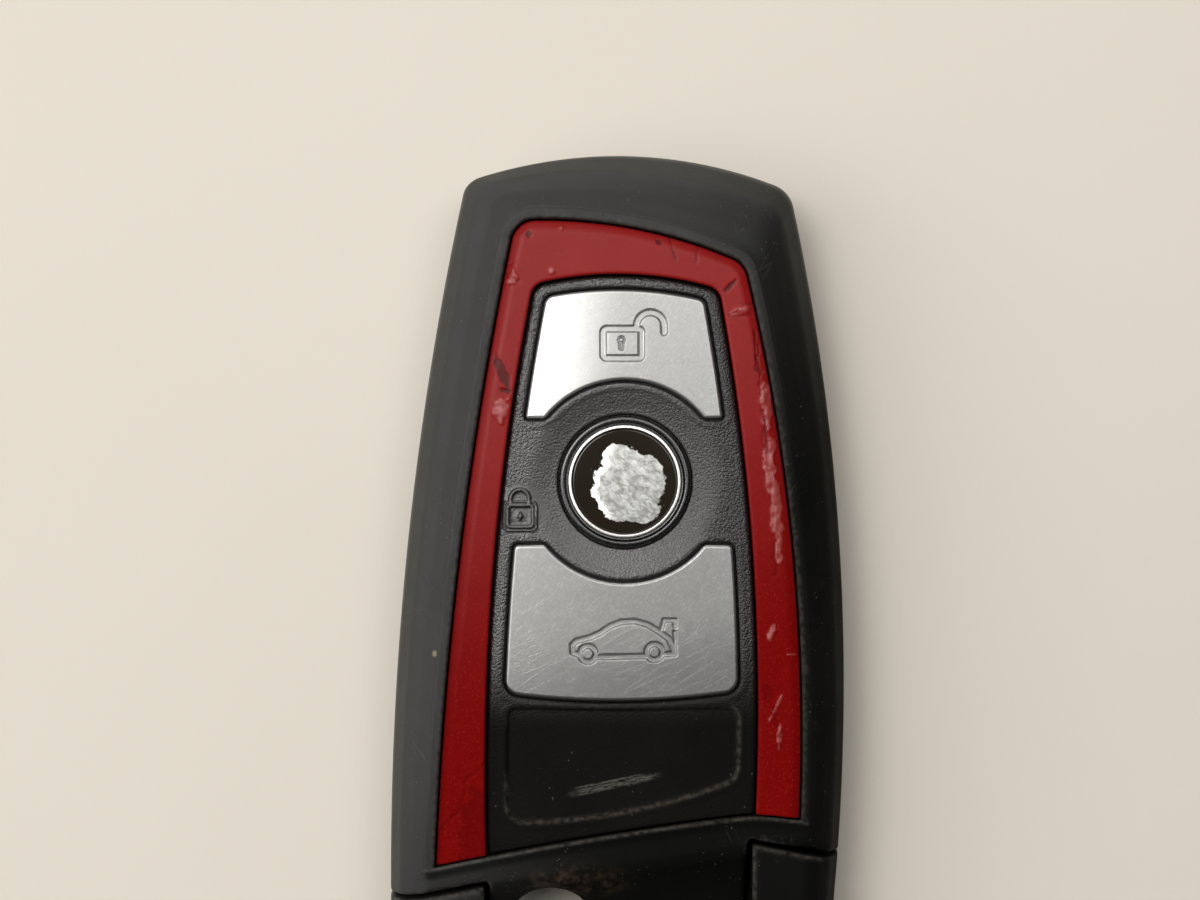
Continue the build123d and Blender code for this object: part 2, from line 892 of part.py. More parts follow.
# Coin cell with the can towards the cover
cell_bottom = cover_thickness + cover_seal_thickness + cover_spigot_height
cell_top = cell_bottom + cell_height
with BuildPart() as cell_can:
    extrude(disc_face(cell_x, cell_y, cell_radius, cell_bottom), amount=cell_height - cell_cap_rise)
    extrude(
        disc_face(cell_x, cell_y, cell_radius - cell_wall, cell_bottom + cell_wall),
        amount=cell_height,
        mode=Mode.SUBTRACT,
    )
cell_can.part.label = "cell_can"

with BuildPart() as cell_gasket_ring:
    gasket_outer = cell_radius - cell_wall
    extrude(disc_face(cell_x, cell_y, gasket_outer, cell_bottom + cell_wall),
            amount=cell_height - cell_wall - cell_cap_rise)
    extrude(
        disc_face(cell_x, cell_y, gasket_outer - cell_gasket, cell_bottom),
        amount=cell_height,
        mode=Mode.SUBTRACT,
    )
cell_gasket_ring.part.label = "cell_gasket"

with BuildPart() as cell_cap:
    extrude(disc_face(cell_x, cell_y, gasket_outer - cell_gasket, cell_bottom + cell_wall),
            amount=cell_height - cell_wall)
cell_cap.part.label = "cell_cap"

# Battery contacts under the board
with BuildPart() as contact_positive:
    wall_y = cell_y + cell_radius + contact_clearance
    with BuildSketch(Plane.YZ.offset(cell_x - contact_width / 2)):
        with BuildLine():
            Polyline(
                (wall_y, rear_depth - contact_reach),
                (wall_y, rear_depth),
                (wall_y + contact_foot, rear_depth),
                (wall_y + contact_foot, rear_depth - contact_sheet),
                (wall_y + contact_sheet, rear_depth - contact_sheet),
                (wall_y + contact_sheet, rear_depth - contact_reach),
                close=True,
            )
        make_face()
    extrude(amount=contact_width)
contact_positive.part.label = "contact_positive"

with BuildPart() as contact_negative:
    with BuildSketch(Plane.YZ.offset(cell_x - leaf_width / 2)):
        leaf_start = cell_y - leaf_length / 2
        leaf_middle = cell_y
        leaf_end = cell_y + leaf_length / 2
        with BuildLine():
            Polyline(
                (leaf_start, rear_depth),
                (leaf_end, rear_depth),
                (leaf_end, rear_depth - leaf_sheet),
                (leaf_middle + leaf_width, rear_depth - leaf_sheet),
                (leaf_middle, cell_top),
                (leaf_middle - leaf_sheet, cell_top),
                (leaf_middle + leaf_width - leaf_sheet, rear_depth - leaf_sheet),
                (leaf_start, rear_depth - leaf_sheet),
                close=True,
            )
        make_face()
    extrude(amount=leaf_width)
contact_negative.part.label = "contact_negative"

# Rear shell: floor with the battery well, the blade's channel and a pocket for the transponder
channel_left = blade_left - blade_clearance
channel_right = blade_left + blade_width + blade_clearance
channel_bottom = blade_bottom - blade_clearance
channel_height = blade_thickness + 2 * blade_clearance
clip_depth = clip_crown + clip_sheet
with BuildPart() as rear_shell:
    add(rear_form.part)
    extrude(bow_space(0), amount=rear_depth, mode=Mode.SUBTRACT)
    extrude(
        disc_face(cell_x, cell_y, cover_radius + cover_gap, 0),
        amount=cover_thickness + cover_seal_thickness,
        mode=Mode.SUBTRACT,
    )
    well = disc_face(cell_x, cell_y, cell_radius + cell_clearance, 0)
    extrude(well, amount=rear_depth, mode=Mode.SUBTRACT)
    notch = box_face(
        cell_x - contact_width / 2 - cell_clearance,
        cell_x + contact_width / 2 + cell_clearance,
        cell_y,
        pocket_bottom + contact_foot,
        rear_depth - contact_reach - cell_clearance,
    )
    extrude(notch, amount=rear_depth, mode=Mode.SUBTRACT)
    extrude(
        box_face(pocket_left, pocket_right, pocket_bottom, pocket_top, rear_floor, pocket_corner),
        amount=rear_depth,
        mode=Mode.SUBTRACT,
    )
    channel = box_face(channel_left, channel_right, bottom_end, blade_tip + blade_clearance, channel_bottom)
    extrude(channel, amount=channel_height, mode=Mode.SUBTRACT)
    clip_middle = blade_left + blade_width / 2
    clip_bed = box_face(
        clip_middle - clip_width / 2 - blade_clearance,
        clip_middle + clip_width / 2 + blade_clearance,
        clip_level - clip_length / 2 - blade_clearance,
        clip_level + clip_length / 2 + blade_clearance,
        blade_bottom - clip_depth,
    )
    extrude(clip_bed, amount=clip_depth, mode=Mode.SUBTRACT)
    extrude(bay_face(0), amount=rear_depth, mode=Mode.SUBTRACT)
rear_shell.part.label = "rear_shell"

# Spring clip that grips the blade from below
with BuildPart() as key_clip:
    clip_base = blade_bottom - clip_depth
    clip_peak = blade_bottom - clip_touch
    clip_start = clip_level - clip_length / 2
    clip_end = clip_level + clip_length / 2
    with BuildSketch(Plane.YZ.offset(clip_middle - clip_width / 2)):
        with BuildLine():
            foot_top = clip_base + clip_sheet
            ThreePointArc((clip_start, foot_top), (clip_level, clip_peak), (clip_end, foot_top))
            Line((clip_end, foot_top), (clip_end, clip_base))
            ThreePointArc(
                (clip_end, clip_base),
                (clip_level, clip_peak - clip_sheet),
                (clip_start, clip_base),
            )
            Line((clip_start, clip_base), (clip_start, foot_top))
        make_face()
    extrude(amount=clip_width)
key_clip.part.label = "key_clip"

# Round battery cover with a coin slot, and its seal
with BuildPart() as battery_cover:
    extrude(disc_face(cell_x, cell_y, cover_radius, 0), amount=cover_thickness)
    spigot_radius = cell_radius + cell_clearance - cover_gap
    spigot_height = cover_seal_thickness + cover_spigot_height
    extrude(disc_face(cell_x, cell_y, spigot_radius, cover_thickness), amount=spigot_height)
    extrude(
        disc_face(cell_x, cell_y, spigot_radius - cover_spigot_width, cover_thickness),
        amount=spigot_height,
        mode=Mode.SUBTRACT,
    )
    with BuildSketch(Plane.XY):
        with Locations((cell_x, cell_y)):
            SlotOverall(cover_slot_length, cover_slot_width)
    extrude(amount=cover_slot_depth, mode=Mode.SUBTRACT)
battery_cover.part.label = "battery_cover"

with BuildPart() as battery_cover_seal:
    extrude(disc_face(cell_x, cell_y, cover_radius, cover_thickness), amount=cover_seal_thickness)
    extrude(
        disc_face(cell_x, cell_y, spigot_radius + cover_gap, cover_thickness),
        amount=cover_seal_thickness,
        mode=Mode.SUBTRACT,
    )
battery_cover_seal.part.label = "battery_cover_seal"

# Emergency key bow: both shoulders and the end bar, round the tongue
with BuildPart() as key_bow:
    add(front_form.part)
    add(rear_form.part)
    extrude(bow_space(0, seam_gap), amount=crest_height, mode=Mode.INTERSECT)
    half_tongue = (tongue_right - tongue_left) / 2
    extrude(scoop_face(), amount=half_tongue, both=True, mode=Mode.SUBTRACT)
    root = box_face(blade_left, blade_left + blade_width, blade_root, top_end, blade_bottom)
    extrude(root, amount=blade_thickness, mode=Mode.SUBTRACT)
    liner_y = tongue_end - seam_gap
    bed = box_face(
        bay_x - bay_radius - liner_overlap,
        bay_x + bay_radius + liner_overlap,
        liner_y - liner_thickness,
        top_end,
        liner_level,
    )
    extrude(bed, amount=liner_height, mode=Mode.SUBTRACT)
key_bow.part.label = "key_bow"

with BuildPart() as key_ring_liner:
    liner = box_face(
        bay_x - bay_radius - liner_overlap,
        bay_x + bay_radius + liner_overlap,
        liner_y - liner_thickness,
        liner_y,
        liner_level,
    )
    extrude(liner, amount=liner_height)
key_ring_liner.part.label = "key_ring_liner"

# Blade with the laser-cut track
with BuildPart() as key_blade:
    blade_right = blade_left + blade_width
    with BuildSketch(Plane.XY.offset(blade_bottom)):
        with BuildLine():
            Polyline(
                (blade_left, blade_root),
                (blade_right, blade_root),
                (blade_right, blade_tip - blade_point),
                (blade_right - blade_point, blade_tip),
                (blade_left + blade_point, blade_tip),
                (blade_left, blade_tip - blade_point),
                close=True,
            )
        make_face()
    extrude(amount=blade_thickness)
    with BuildSketch(Plane.XY.offset(blade_bottom + blade_thickness - track_depth)):
        with BuildLine():
            FilletPolyline(
                *[
                    (blade_left + blade_width * across, track_start + (blade_tip - track_start) * along)
                    for along, across in track_shares
                ],
                radius=track_bend,
            )
        trace(line_width=track_width)
    extrude(amount=track_depth, mode=Mode.SUBTRACT)
key_blade.part.label = "key_blade"

# Write one STEP file for each piece
export_step(front_bezel.part, "parts/front_bezel.step")
export_step(trim_insert.part, "parts/trim_insert.step")
export_step(button_panel.part, "parts/button_panel.step")
export_step(unlock_button, "parts/unlock_button.step")
export_step(unlock_carrier, "parts/unlock_carrier.step")
export_step(trunk_button, "parts/trunk_button.step")
export_step(trunk_carrier, "parts/trunk_carrier.step")
export_step(lock_button.part, "parts/lock_button.step")
export_step(badge_ring.part, "parts/badge_ring.step")
export_step(badge_foil.part, "parts/badge_foil.step")
export_step(badge_lens.part, "parts/badge_lens.step")
export_step(keypad_mat.part, "parts/keypad_mat.step")
export_step(circuit_board.part, "parts/circuit_board.step")
export_step(antenna_coil.part, "parts/antenna_coil.step")
export_step(loop_antenna.part, "parts/loop_antenna.step")
export_step(transponder.part, "parts/transponder.step")
export_step(cell_can.part, "parts/cell_can.step")
export_step(cell_gasket_ring.part, "parts/cell_gasket.step")
export_step(cell_cap.part, "parts/cell_cap.step")
export_step(contact_positive.part, "parts/contact_positive.step")
export_step(contact_negative.part, "parts/contact_negative.step")
export_step(rear_shell.part, "parts/rear_shell.step")
export_step(key_clip.part, "parts/key_clip.step")
export_step(battery_cover.part, "parts/battery_cover.step")
export_step(battery_cover_seal.part, "parts/battery_cover_seal.step")
export_step(key_bow.part, "parts/key_bow.step")
export_step(key_ring_liner.part, "parts/key_ring_liner.step")
export_step(key_blade.part, "parts/key_blade.step")

for place, (x, y) in switch_places.items():
    export_step(rubber_pad(x, y, f"{place}_pad"), f"parts/{place}_pad.step")
    export_step(switch_base(x, y, f"{place}_switch"), f"parts/{place}_switch.step")
    export_step(switch_plunger(x, y, f"{place}_plunger"), f"parts/{place}_plunger.step")

board_parts = {
    "controller_chip": (
        panel_left + controller_inset,
        on_panel(controller_share),
        controller_size,
        controller_size,
        controller_height,
    ),
    "radio_chip": (
        panel_right - radio_inset,
        on_panel(radio_share),
        radio_size,
        radio_size,
        radio_height,
    ),
    "crystal": (
        panel_right - crystal_inset,
        on_panel(crystal_share),
        crystal_length,
        crystal_width,
        crystal_height,
    ),
    "capacitor": (
        panel_left + capacitor_inset,
        on_panel(capacitor_share),
        capacitor_length,
        capacitor_width,
        capacitor_height,
    ),
}
for node, (x, y, length, width, height) in board_parts.items():
    export_step(board_block(x, y, length, width, height, node), f"parts/{node}.step")
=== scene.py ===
"""Looks of a car key fob that lies on its back on a pale table.

Lengths here are millimetres in the frame of the part; meshes are written in metres.
"""

import itertools
import math

import bmesh
import bpy
import numpy as np
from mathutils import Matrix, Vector


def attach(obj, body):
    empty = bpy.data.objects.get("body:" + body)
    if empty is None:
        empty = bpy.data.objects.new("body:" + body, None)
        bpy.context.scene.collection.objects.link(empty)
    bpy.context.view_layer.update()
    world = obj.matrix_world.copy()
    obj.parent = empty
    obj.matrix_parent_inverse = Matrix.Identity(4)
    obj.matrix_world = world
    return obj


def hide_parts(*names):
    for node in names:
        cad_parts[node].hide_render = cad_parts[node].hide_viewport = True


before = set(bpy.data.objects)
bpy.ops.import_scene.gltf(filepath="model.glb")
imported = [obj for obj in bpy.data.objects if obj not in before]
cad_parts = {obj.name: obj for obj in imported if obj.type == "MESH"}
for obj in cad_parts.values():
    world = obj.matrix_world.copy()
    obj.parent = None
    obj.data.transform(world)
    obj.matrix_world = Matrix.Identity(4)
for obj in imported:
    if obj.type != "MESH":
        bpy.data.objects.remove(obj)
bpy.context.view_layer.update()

# Housing
BODY_WIDTH = 40.3
TOP_END = 41.0
BOTTOM_END = -41.0
REAR_DEPTH = 7.3
FRONT_DEPTH = 6.9
CREST = REAR_DEPTH + FRONT_DEPTH
LIP_RISE = 0.25
LIP_WIDTH = 0.75
GAP = 0.15
FRONT_FLANK = ((0.0, 0.0), (0.07, 0.34), (0.36, 0.72), (0.74, 0.94), (1.0, 1.0))
REAR_FLANK = ((0.0, 0.0), (0.07, 0.36), (0.32, 0.76), (1.0, 1.0))
WALL = 1.9
LEDGE_WALL = 3.4
LEDGE_TOP = 12.75
LEDGE_BOTTOM = 11.55

# Trim and panel
TRIM_LEFT = -15.9
TRIM_RIGHT = 15.8
TRIM_END = 34.67
PANEL_LEFT = -11.47
PANEL_RIGHT = 12.12
PANEL_END = 30.04
PANEL_TOP = 13.5
PANEL_BOTTOM = 10.65
POCKET_CEILING = 12.2
BEVEL_WIDTH = 0.75
BEVEL_DROP = 0.32

# Diagonal step
STEP_LEFT = -21.35
STEP_MIDDLE = -18.75
STEP_KNEE = -16.75
STEP_RIGHT = -17.25

# Badge and buttons
BADGE = (0.6, 12.11)
BADGE_RADIUS = 5.6
BADGE_GAP = 0.2
BADGE_TOP = 13.75
RING_RADIUS = 4.88
LENS_RADIUS = 4.6
LENS_EDGE = 13.55
LENS_RISE = 0.11
SEAT = 12.95
RING_LEDGE = 13.45
NUB_TIP = 9.97
FLANGE_BOTTOM = 11.5
DISH_RADIUS = 8.6
DISH_DROP = 0.32
BUTTON_GAP = 0.2
BUTTON_TOP = 13.7
BUTTON_BOTTOM = 12.2
BUTTON_ARC = 8.8
CROWN = 0.0013
ICON_DEPTH = 0.17
ICON_WALL = 0.2
RECESS_DEPTH = 0.3
RECESS_MARGIN = 0.55
PADLOCK = (-8.45, 9.1)
PADLOCK_RISE = 0.14
EDGE_FALL = 0.16
BUTTON_RIM = 0.04
RECESS_RIM = 0.03

# Emergency key
TONGUE_LEFT = -11.1
TONGUE_RIGHT = 11.2
TONGUE_END = -35.6
LEFT_SEAM = (-22.4, -24.15)
RIGHT_SEAM = (-18.7, -20.55)
SEAM_GAP = 0.45
DEEP_GAP = 0.12
SEAM_LEVEL = 9.0
BAY = (-5.9, -27.0)
BAY_RADIUS = 3.8
SCOOP_RADIUS = 15.0
SCOOP_LEVEL = -33.2
SCOOP_RISE = 9.6
SCOOP_SLOPE = math.radians(8.6)
BLADE_ROOT = ((10.4, 16.2), (-33.0, 50.0), (3.2, 5.4))
BED = ((-10.6, -1.2), (TONGUE_END - SEAM_GAP - 0.7, 50.0), (2.4, 8.4))

# Wear
GRIME = ((-3.7, -22.6), (6.5, 2.3))
FLECK = (-15.87, -2.74, CREST)
SCUFFS = (((-4.65, -15.15), (4.07, -13.25), 0.4, 1.0), ((-4.2, -14.6), (2.6, -13.2), 0.14, 2.0))
LONG_SCRATCH = ((1.65, 20.8), (7.36, 23.8), 0.05, 1.0)
WORN_SPOT = (BADGE[0] + 0.22, BADGE[1] - 0.3, 13.6)
BLISTER_RISE = 0.13
FILM_DEPTH = 0.05
CRACK_DEPTH = 0.06
SWELL = 0.008

MM = 0.001


class Outline:
    """Closed outline of four long arcs, each (reach, level, radius), with rounded corners."""

    def __init__(self, left, right, top, bottom, corners):
        self.sides = (left, right, top, bottom)
        self.corners = corners

    def blended(self, other, share):
        """Outline between this one and another."""
        sides = [
            tuple(a + (b - a) * share for a, b in zip(ours, theirs))
            for ours, theirs in zip(self.sides, other.sides)
        ]
        corners = [a + (b - a) * share for a, b in zip(self.corners, other.corners)]
        return Outline(*sides, corners)

    def field(self, x, y, growth=0.0):
        """Distance to the outline, negative inside."""
        left, right, top, bottom = self.sides
        west = (left[0] + left[2], left[1], left[2])
        east = (right[0] - right[2], right[1], right[2])
        north = (top[1], top[0] - top[2], top[2])
        south = (bottom[1], bottom[0] + bottom[2], bottom[2])
        low_left, low_right, high_right, high_left = self.corners
        low = np.where(x < 0, corner_field(x, y, west, south, low_left, (-1, -1)),
                       corner_field(x, y, east, south, low_right, (1, -1)))
        high = np.where(x < 0, corner_field(x, y, west, north, high_left, (-1, 1)),
                        corner_field(x, y, east, north, high_right, (1, 1)))
        return np.where(y > (top[0] + bottom[0]) / 2, high, low) - growth


def corner_field(x, y, side, end, corner, way):
    """Distance to what two discs (x, y, radius) share, with the corner between them rounded."""
    reach = np.hypot(end[0] - side[0], end[1] - side[1])
    first, second = side[2] - corner, end[2] - corner
    along = (reach**2 + first**2 - second**2) / (2 * reach)
    height = np.sqrt(np.maximum(first**2 - along**2, 0))
    u = ((end[0] - side[0]) / reach, (end[1] - side[1]) / reach)
    turn = np.where(u[0] * way[1] - u[1] * way[0] > 0, 1.0, -1.0)
    tip_x = side[0] + along * u[0] - turn * height * u[1]
    tip_y = side[1] + along * u[1] + turn * height * u[0]
    to_side = np.hypot(x - side[0], y - side[1]) - first
    to_end = np.hypot(x - end[0], y - end[1]) - second
    from_x, from_y = x - tip_x, y - tip_y
    side_x, side_y = (tip_x - side[0]) / first, (tip_y - side[1]) / first
    end_x, end_y = (tip_x - end[0]) / second, (tip_y - end[1]) / second
    past_side = from_x * side_y - from_y * side_x
    past_end = from_x * end_y - from_y * end_x
    outward = from_x * (side_x + end_x) + from_y * (side_y + end_y) > 0
    beyond = (past_side * past_end < 0) & outward
    tip = np.hypot(from_x, from_y)
    return np.where(beyond, tip, np.maximum(to_side, to_end)) - corner


def common(a, b, radius=0.0):
    """What two fields share, with the edge between them rounded."""
    inner = np.minimum(np.maximum(a, b), -radius)
    return inner + np.hypot(np.maximum(a + radius, 0), np.maximum(b + radius, 0))


def either(a, b, radius=0.0):
    """Two fields joined, with the corner between them filled."""
    return -common(-a, -b, radius)


def without(a, b, radius=0.0):
    """The first field with the second cut out of it, and the edge rounded."""
    return common(a, -b, radius)


def ease(value):
    """Smooth step from 0 to 1."""
    value = np.clip(value, 0, 1)
    return value * value * (3 - 2 * value)


def bell(distance, half_width):
    """Smooth hump, 1 at the middle and 0 at half_width."""
    return 1 - ease(np.abs(distance) / half_width)


def softened(shares, window=0.14, count=400):
    """Profile through (inward, upward) shares with its corners smoothed, inward by height."""
    inward, upward = zip(*shares)
    rises = np.linspace(-window, 1 + window, count)
    slope = (inward[-1] - inward[-2]) / (upward[-1] - upward[-2])
    runs = np.interp(rises, upward, inward)
    runs = np.where(rises > 1, 1 + (rises - 1) * slope, runs)
    width = max(1, int(count * window / (1 + 2 * window)))
    kernel = np.ones(width) / width
    smooth = np.convolve(runs, kernel, "same")
    keep = (rises >= 0) & (rises <= 1)
    return rises[keep], smooth[keep] - smooth[keep][0]


def surface_net(field, low, high, step):
    """Points and quads of the surface where field(x, y, z) is zero, negative inside."""
    axes = [np.arange(a, b + step, step) for a, b in zip(low, high)]
    shape = tuple(len(axis) for axis in axes)
    x, y, z = np.meshgrid(*axes, indexing="ij", sparse=True)
    values = np.broadcast_to(field(x, y, z), shape).astype(np.float32)
    inside = values < 0
    total = np.zeros([n - 1 for n in shape], np.int8)
    for i, j, k in itertools.product((0, 1), repeat=3):
        total += inside[i:shape[0] - 1 + i, j:shape[1] - 1 + j, k:shape[2] - 1 + k]
    active = (total > 0) & (total < 8)
    cells = np.argwhere(active)
    index = np.full(active.shape, -1, np.int32)
    index[active] = np.arange(len(cells))
    return np.array(low) + crossings(values, cells) * step, net_quads(inside, index)


def crossings(values, cells):
    """Mean of the points where the cells' edges cross zero, in grid units."""
    spots = np.zeros(cells.shape)
    hits = np.zeros(len(cells))
    for axis in range(3):
        others = [a for a in range(3) if a != axis]
        for offset in itertools.product((0, 1), repeat=2):
            start = cells.copy()
            start[:, others] += offset
            end = start.copy()
            end[:, axis] += 1
            a = values[tuple(start.T)]
            b = values[tuple(end.T)]
            crossed = (a < 0) != (b < 0)
            share = np.where(crossed, a / np.where(crossed, a - b, 1), 0)
            place = start.astype(float)
            place[:, axis] += share
            spots += place * crossed[:, None]
            hits += crossed
    return spots / hits[:, None]


def net_quads(inside, index):
    """Quads round each grid edge that crosses the surface."""
    quads = []
    for axis in range(3):
        v, w = (axis + 1) % 3, (axis + 2) % 3
        count = inside.shape[axis]
        first = np.take(inside, range(count - 1), axis)
        second = np.take(inside, range(1, count), axis)
        spots = np.argwhere(first != second)
        keep = (spots[:, v] > 0) & (spots[:, w] > 0)
        keep &= (spots[:, v] < inside.shape[v] - 1) & (spots[:, w] < inside.shape[w] - 1)
        spots = spots[keep]
        outward = first[tuple(spots.T)]
        back_v, back_w = np.eye(3, dtype=int)[[v, w]]
        around = [spots, spots - back_v, spots - back_v - back_w, spots - back_w]
        quad = np.stack([index[tuple(cell.T)] for cell in around], 1)
        quads.append(np.where(outward[:, None], quad, quad[:, ::-1]))
    return np.concatenate(quads)


def slopes(points, field, probe=0.01):
    """Values of the field at the points, and how it rises there along each axis."""
    value = field(*points.T)
    ahead = [(field(*(points + probe * way).T) - value) / probe for way in np.eye(3)]
    return value, np.stack(ahead, 1)


def settled(points, field, step, rounds=2):
    """Points moved onto the zero surface of the field."""
    for _ in range(rounds):
        value, slope = slopes(points, field)
        size = np.maximum((slope**2).sum(1), 0.05)
        move = -(value / size)[:, None] * slope
        points = points + np.clip(move, -step / 2, step / 2)
    return points


def placed(name, data):
    """New object in the scene."""
    thing = bpy.data.objects.new(name, data)
    bpy.context.scene.collection.objects.link(thing)
    return thing


def mesh_object(name, points, quads):
    """Object from points in millimetres and quads."""
    mesh = bpy.data.meshes.new(name)
    mesh.vertices.add(len(points))
    mesh.vertices.foreach_set("co", (points * MM).astype(np.float32).ravel())
    mesh.loops.add(quads.size)
    mesh.loops.foreach_set("vertex_index", quads.astype(np.int32).ravel())
    mesh.polygons.add(len(quads))
    mesh.polygons.foreach_set("loop_start", np.arange(0, quads.size, 4, dtype=np.int32))
    mesh.polygons.foreach_set("use_smooth", np.ones(len(quads), bool))
    mesh.update(calc_edges=True)
    mesh.validate()
    return placed(name, mesh)


def thinned(piece, share):
    """Make the piece's flat stretches of fewer faces."""
    modifier = piece.modifiers.new("thin", "DECIMATE")
    modifier.ratio = share
    graph = bpy.context.evaluated_depsgraph_get()
    mesh = bpy.data.meshes.new_from_object(piece.evaluated_get(graph))
    piece.modifiers.clear()
    piece.data = mesh
    for face in mesh.polygons:
        face.use_smooth = True


def shaded(piece, field):
    """Take the piece's normals from the field, so that long flat faces look flat."""
    points = np.array([vertex.co for vertex in piece.data.vertices]) / MM
    slope = slopes(points, field)[1]
    slope = slope / np.linalg.norm(slope, axis=1)[:, None]
    piece.data.normals_split_custom_set_from_vertices(slope)


def formed(name, field, low, high, step, keep, shape=None):
    """Object of a field's zero surface. shape moves its points and gives attributes."""
    points, quads = surface_net(field, low, high, step)
    points = settled(points, field, step)
    layers = {}
    if shape:
        points, layers = shape(points)
    piece = mesh_object(name, points, quads)
    for title, values in layers.items():
        layer = piece.data.attributes.new(title, "FLOAT", "POINT")
        layer.data.foreach_set("value", values.astype(np.float32))
    thinned(piece, keep)
    if not shape:
        shaded(piece, field)
    return piece


def value_noise(x, y, size, seed):
    """Smooth random field from -1 to 1 with lumps about size across."""
    count = 128
    table = np.random.default_rng(seed).uniform(-1, 1, (count, count))
    u, v = x / size, y / size
    i, j = np.floor(u).astype(int), np.floor(v).astype(int)
    s, t = ease(u - i), ease(v - j)
    near, far = (
        table[i % count, k % count] * (1 - s) + table[(i + 1) % count, k % count] * s
        for k in (j, j + 1)
    )
    return near * (1 - t) + far * t


def in_panel(left, right, top, bottom, corners):
    """Outline whose sides stand in from the panel's by left and right."""
    west = (PANEL_LEFT + left, -13.0, 216.0)
    east = (PANEL_RIGHT - right, -7.4, 196.6)
    return Outline(west, east, top, bottom, corners)


# Outlines
LEFT_FLANK = (-22.6, 285.0)
RIGHT_FLANK = (-5.8, 201.0)
LOW_ARC = (BOTTOM_END, 0, 60.0)
widest = Outline(
    (-BODY_WIDTH / 2, *LEFT_FLANK), (BODY_WIDTH / 2, *RIGHT_FLANK), (TOP_END, 0, 38.8), LOW_ARC,
    (6.5, 6.5, 2.7, 1.9),
)
back = Outline(
    (-BODY_WIDTH / 2 + 2.6, *LEFT_FLANK), (BODY_WIDTH / 2 - 2.6, *RIGHT_FLANK),
    (TOP_END - 2.6, 0, 38.8), (BOTTOM_END + 2.6, 0, 60.0), (5.0, 5.0, 3.2, 3.2),
)
trim = Outline(
    (TRIM_LEFT, -33.1, 327.0), (TRIM_RIGHT, -9.8, 170.7), (TRIM_END, -6.55, 42.0), LOW_ARC,
    (2.1, 2.1, 2.1, 2.1),
)
CREST_GROWTH = GAP + LIP_WIDTH
crest = Outline(
    (TRIM_LEFT - CREST_GROWTH, -33.1, 327.9), (TRIM_RIGHT + CREST_GROWTH, -9.8, 171.6),
    (TRIM_END + CREST_GROWTH, -6.55, 42.9), (BOTTOM_END + 3.4, 0, 60.0), (5.0, 5.0, 3.0, 3.0),
)
panel = in_panel(0, 0, (PANEL_END, 0, 29.8), LOW_ARC, (1.5, 1.5, 1.5, 1.5))
unlock = in_panel(
    1.3, 1.45, (PANEL_END - 1.32, 0, 31.4), (17.5, 0, 400.0), (0.25, 0.25, 0.9, 0.9)
)
trunk = in_panel(1.6, 1.7, (6.7, 0, 400.0), (-6.85, -0.3, 69.8), (1.3, 1.3, 0.4, 0.4))
recess = in_panel(1.8, 1.65, (-7.3, 0, 400.0), (-17.43, -9.3, 53.3), (1.6, 1.6, 1.0, 1.0))


def inner_space(wall, x, y):
    """Field of the space inside the housing."""
    space = Outline(
        (-BODY_WIDTH / 2 + wall, *LEFT_FLANK), (BODY_WIDTH / 2 - wall, *RIGHT_FLANK),
        (TOP_END - wall, 0, 38.8), LOW_ARC, (2.4, 2.4, 2.4, 2.4),
    )
    return space.field(x, y)


def step_line(x):
    """Place of the diagonal step along the fob: a shallow arc that bends back at the right leg."""
    middle = (TRIM_LEFT + PANEL_RIGHT) / 2
    half = PANEL_RIGHT - middle
    run = (x - middle) / half
    chord = (STEP_LEFT + STEP_KNEE) / 2 + run * (STEP_KNEE - STEP_LEFT) / 2
    arc = chord + (STEP_MIDDLE - (STEP_LEFT + STEP_KNEE) / 2) * (1 - run**2)
    fall = (STEP_RIGHT - STEP_KNEE) / (TRIM_RIGHT - PANEL_RIGHT)
    line = STEP_KNEE + (x - PANEL_RIGHT) * fall
    return (arc + line - np.hypot(arc - line, 0.35)) / 2 + 0.1


def below_step(x, y):
    """Field that is negative on the key ring's side of the step."""
    return y - step_line(x)


def bow_space(x, y):
    """Field of the space that the emergency key's bow fills round the tongue."""
    left_slope = (LEFT_SEAM[0] - LEFT_SEAM[1]) / (BODY_WIDTH / 2 + TONGUE_LEFT)
    right_slope = (RIGHT_SEAM[0] - RIGHT_SEAM[1]) / (BODY_WIDTH / 2 - TONGUE_RIGHT)
    left = y - LEFT_SEAM[0] - left_slope * (x - TONGUE_LEFT)
    right = y - RIGHT_SEAM[0] + right_slope * (x - TONGUE_RIGHT)
    shoulder = np.where(x < 0, left, right)
    beside = np.maximum(x - TONGUE_RIGHT, TONGUE_LEFT - x)
    arms = common(shoulder, -beside, 0.5)
    return either(arms, y - TONGUE_END, 1.6)


def scoop(x, y, z):
    """Field of the cylinder that hollows the tongue in front of the ring bay."""
    across = -math.sin(SCOOP_SLOPE) * x + math.cos(SCOOP_SLOPE) * (y - SCOOP_LEVEL)
    return np.hypot(across, z - CREST - SCOOP_RISE) - SCOOP_RADIUS


def bay(x, y):
    """Field of the ring bay."""
    run = np.maximum(y - BAY[1], 0)
    return np.hypot(x - BAY[0], run) - BAY_RADIUS


def flank_field(x, y, rise, ends, profile):
    """Field of a half of the housing at a share of its rise."""
    rises, runs = profile
    share = np.interp(rise, rises, runs)
    return ends[0].blended(ends[1], share).field(x, y)


FRONT_PROFILE = softened(FRONT_FLANK)
REAR_PROFILE = softened(REAR_FLANK)


def front_form(x, y, z):
    """Field of the front half of the whole fob."""
    rise = (z - REAR_DEPTH) / FRONT_DEPTH
    flank = flank_field(x, y, rise, (widest, crest), FRONT_PROFILE)
    return common(common(flank, z - CREST, 0.3), REAR_DEPTH + 0.02 - z, 0.12)


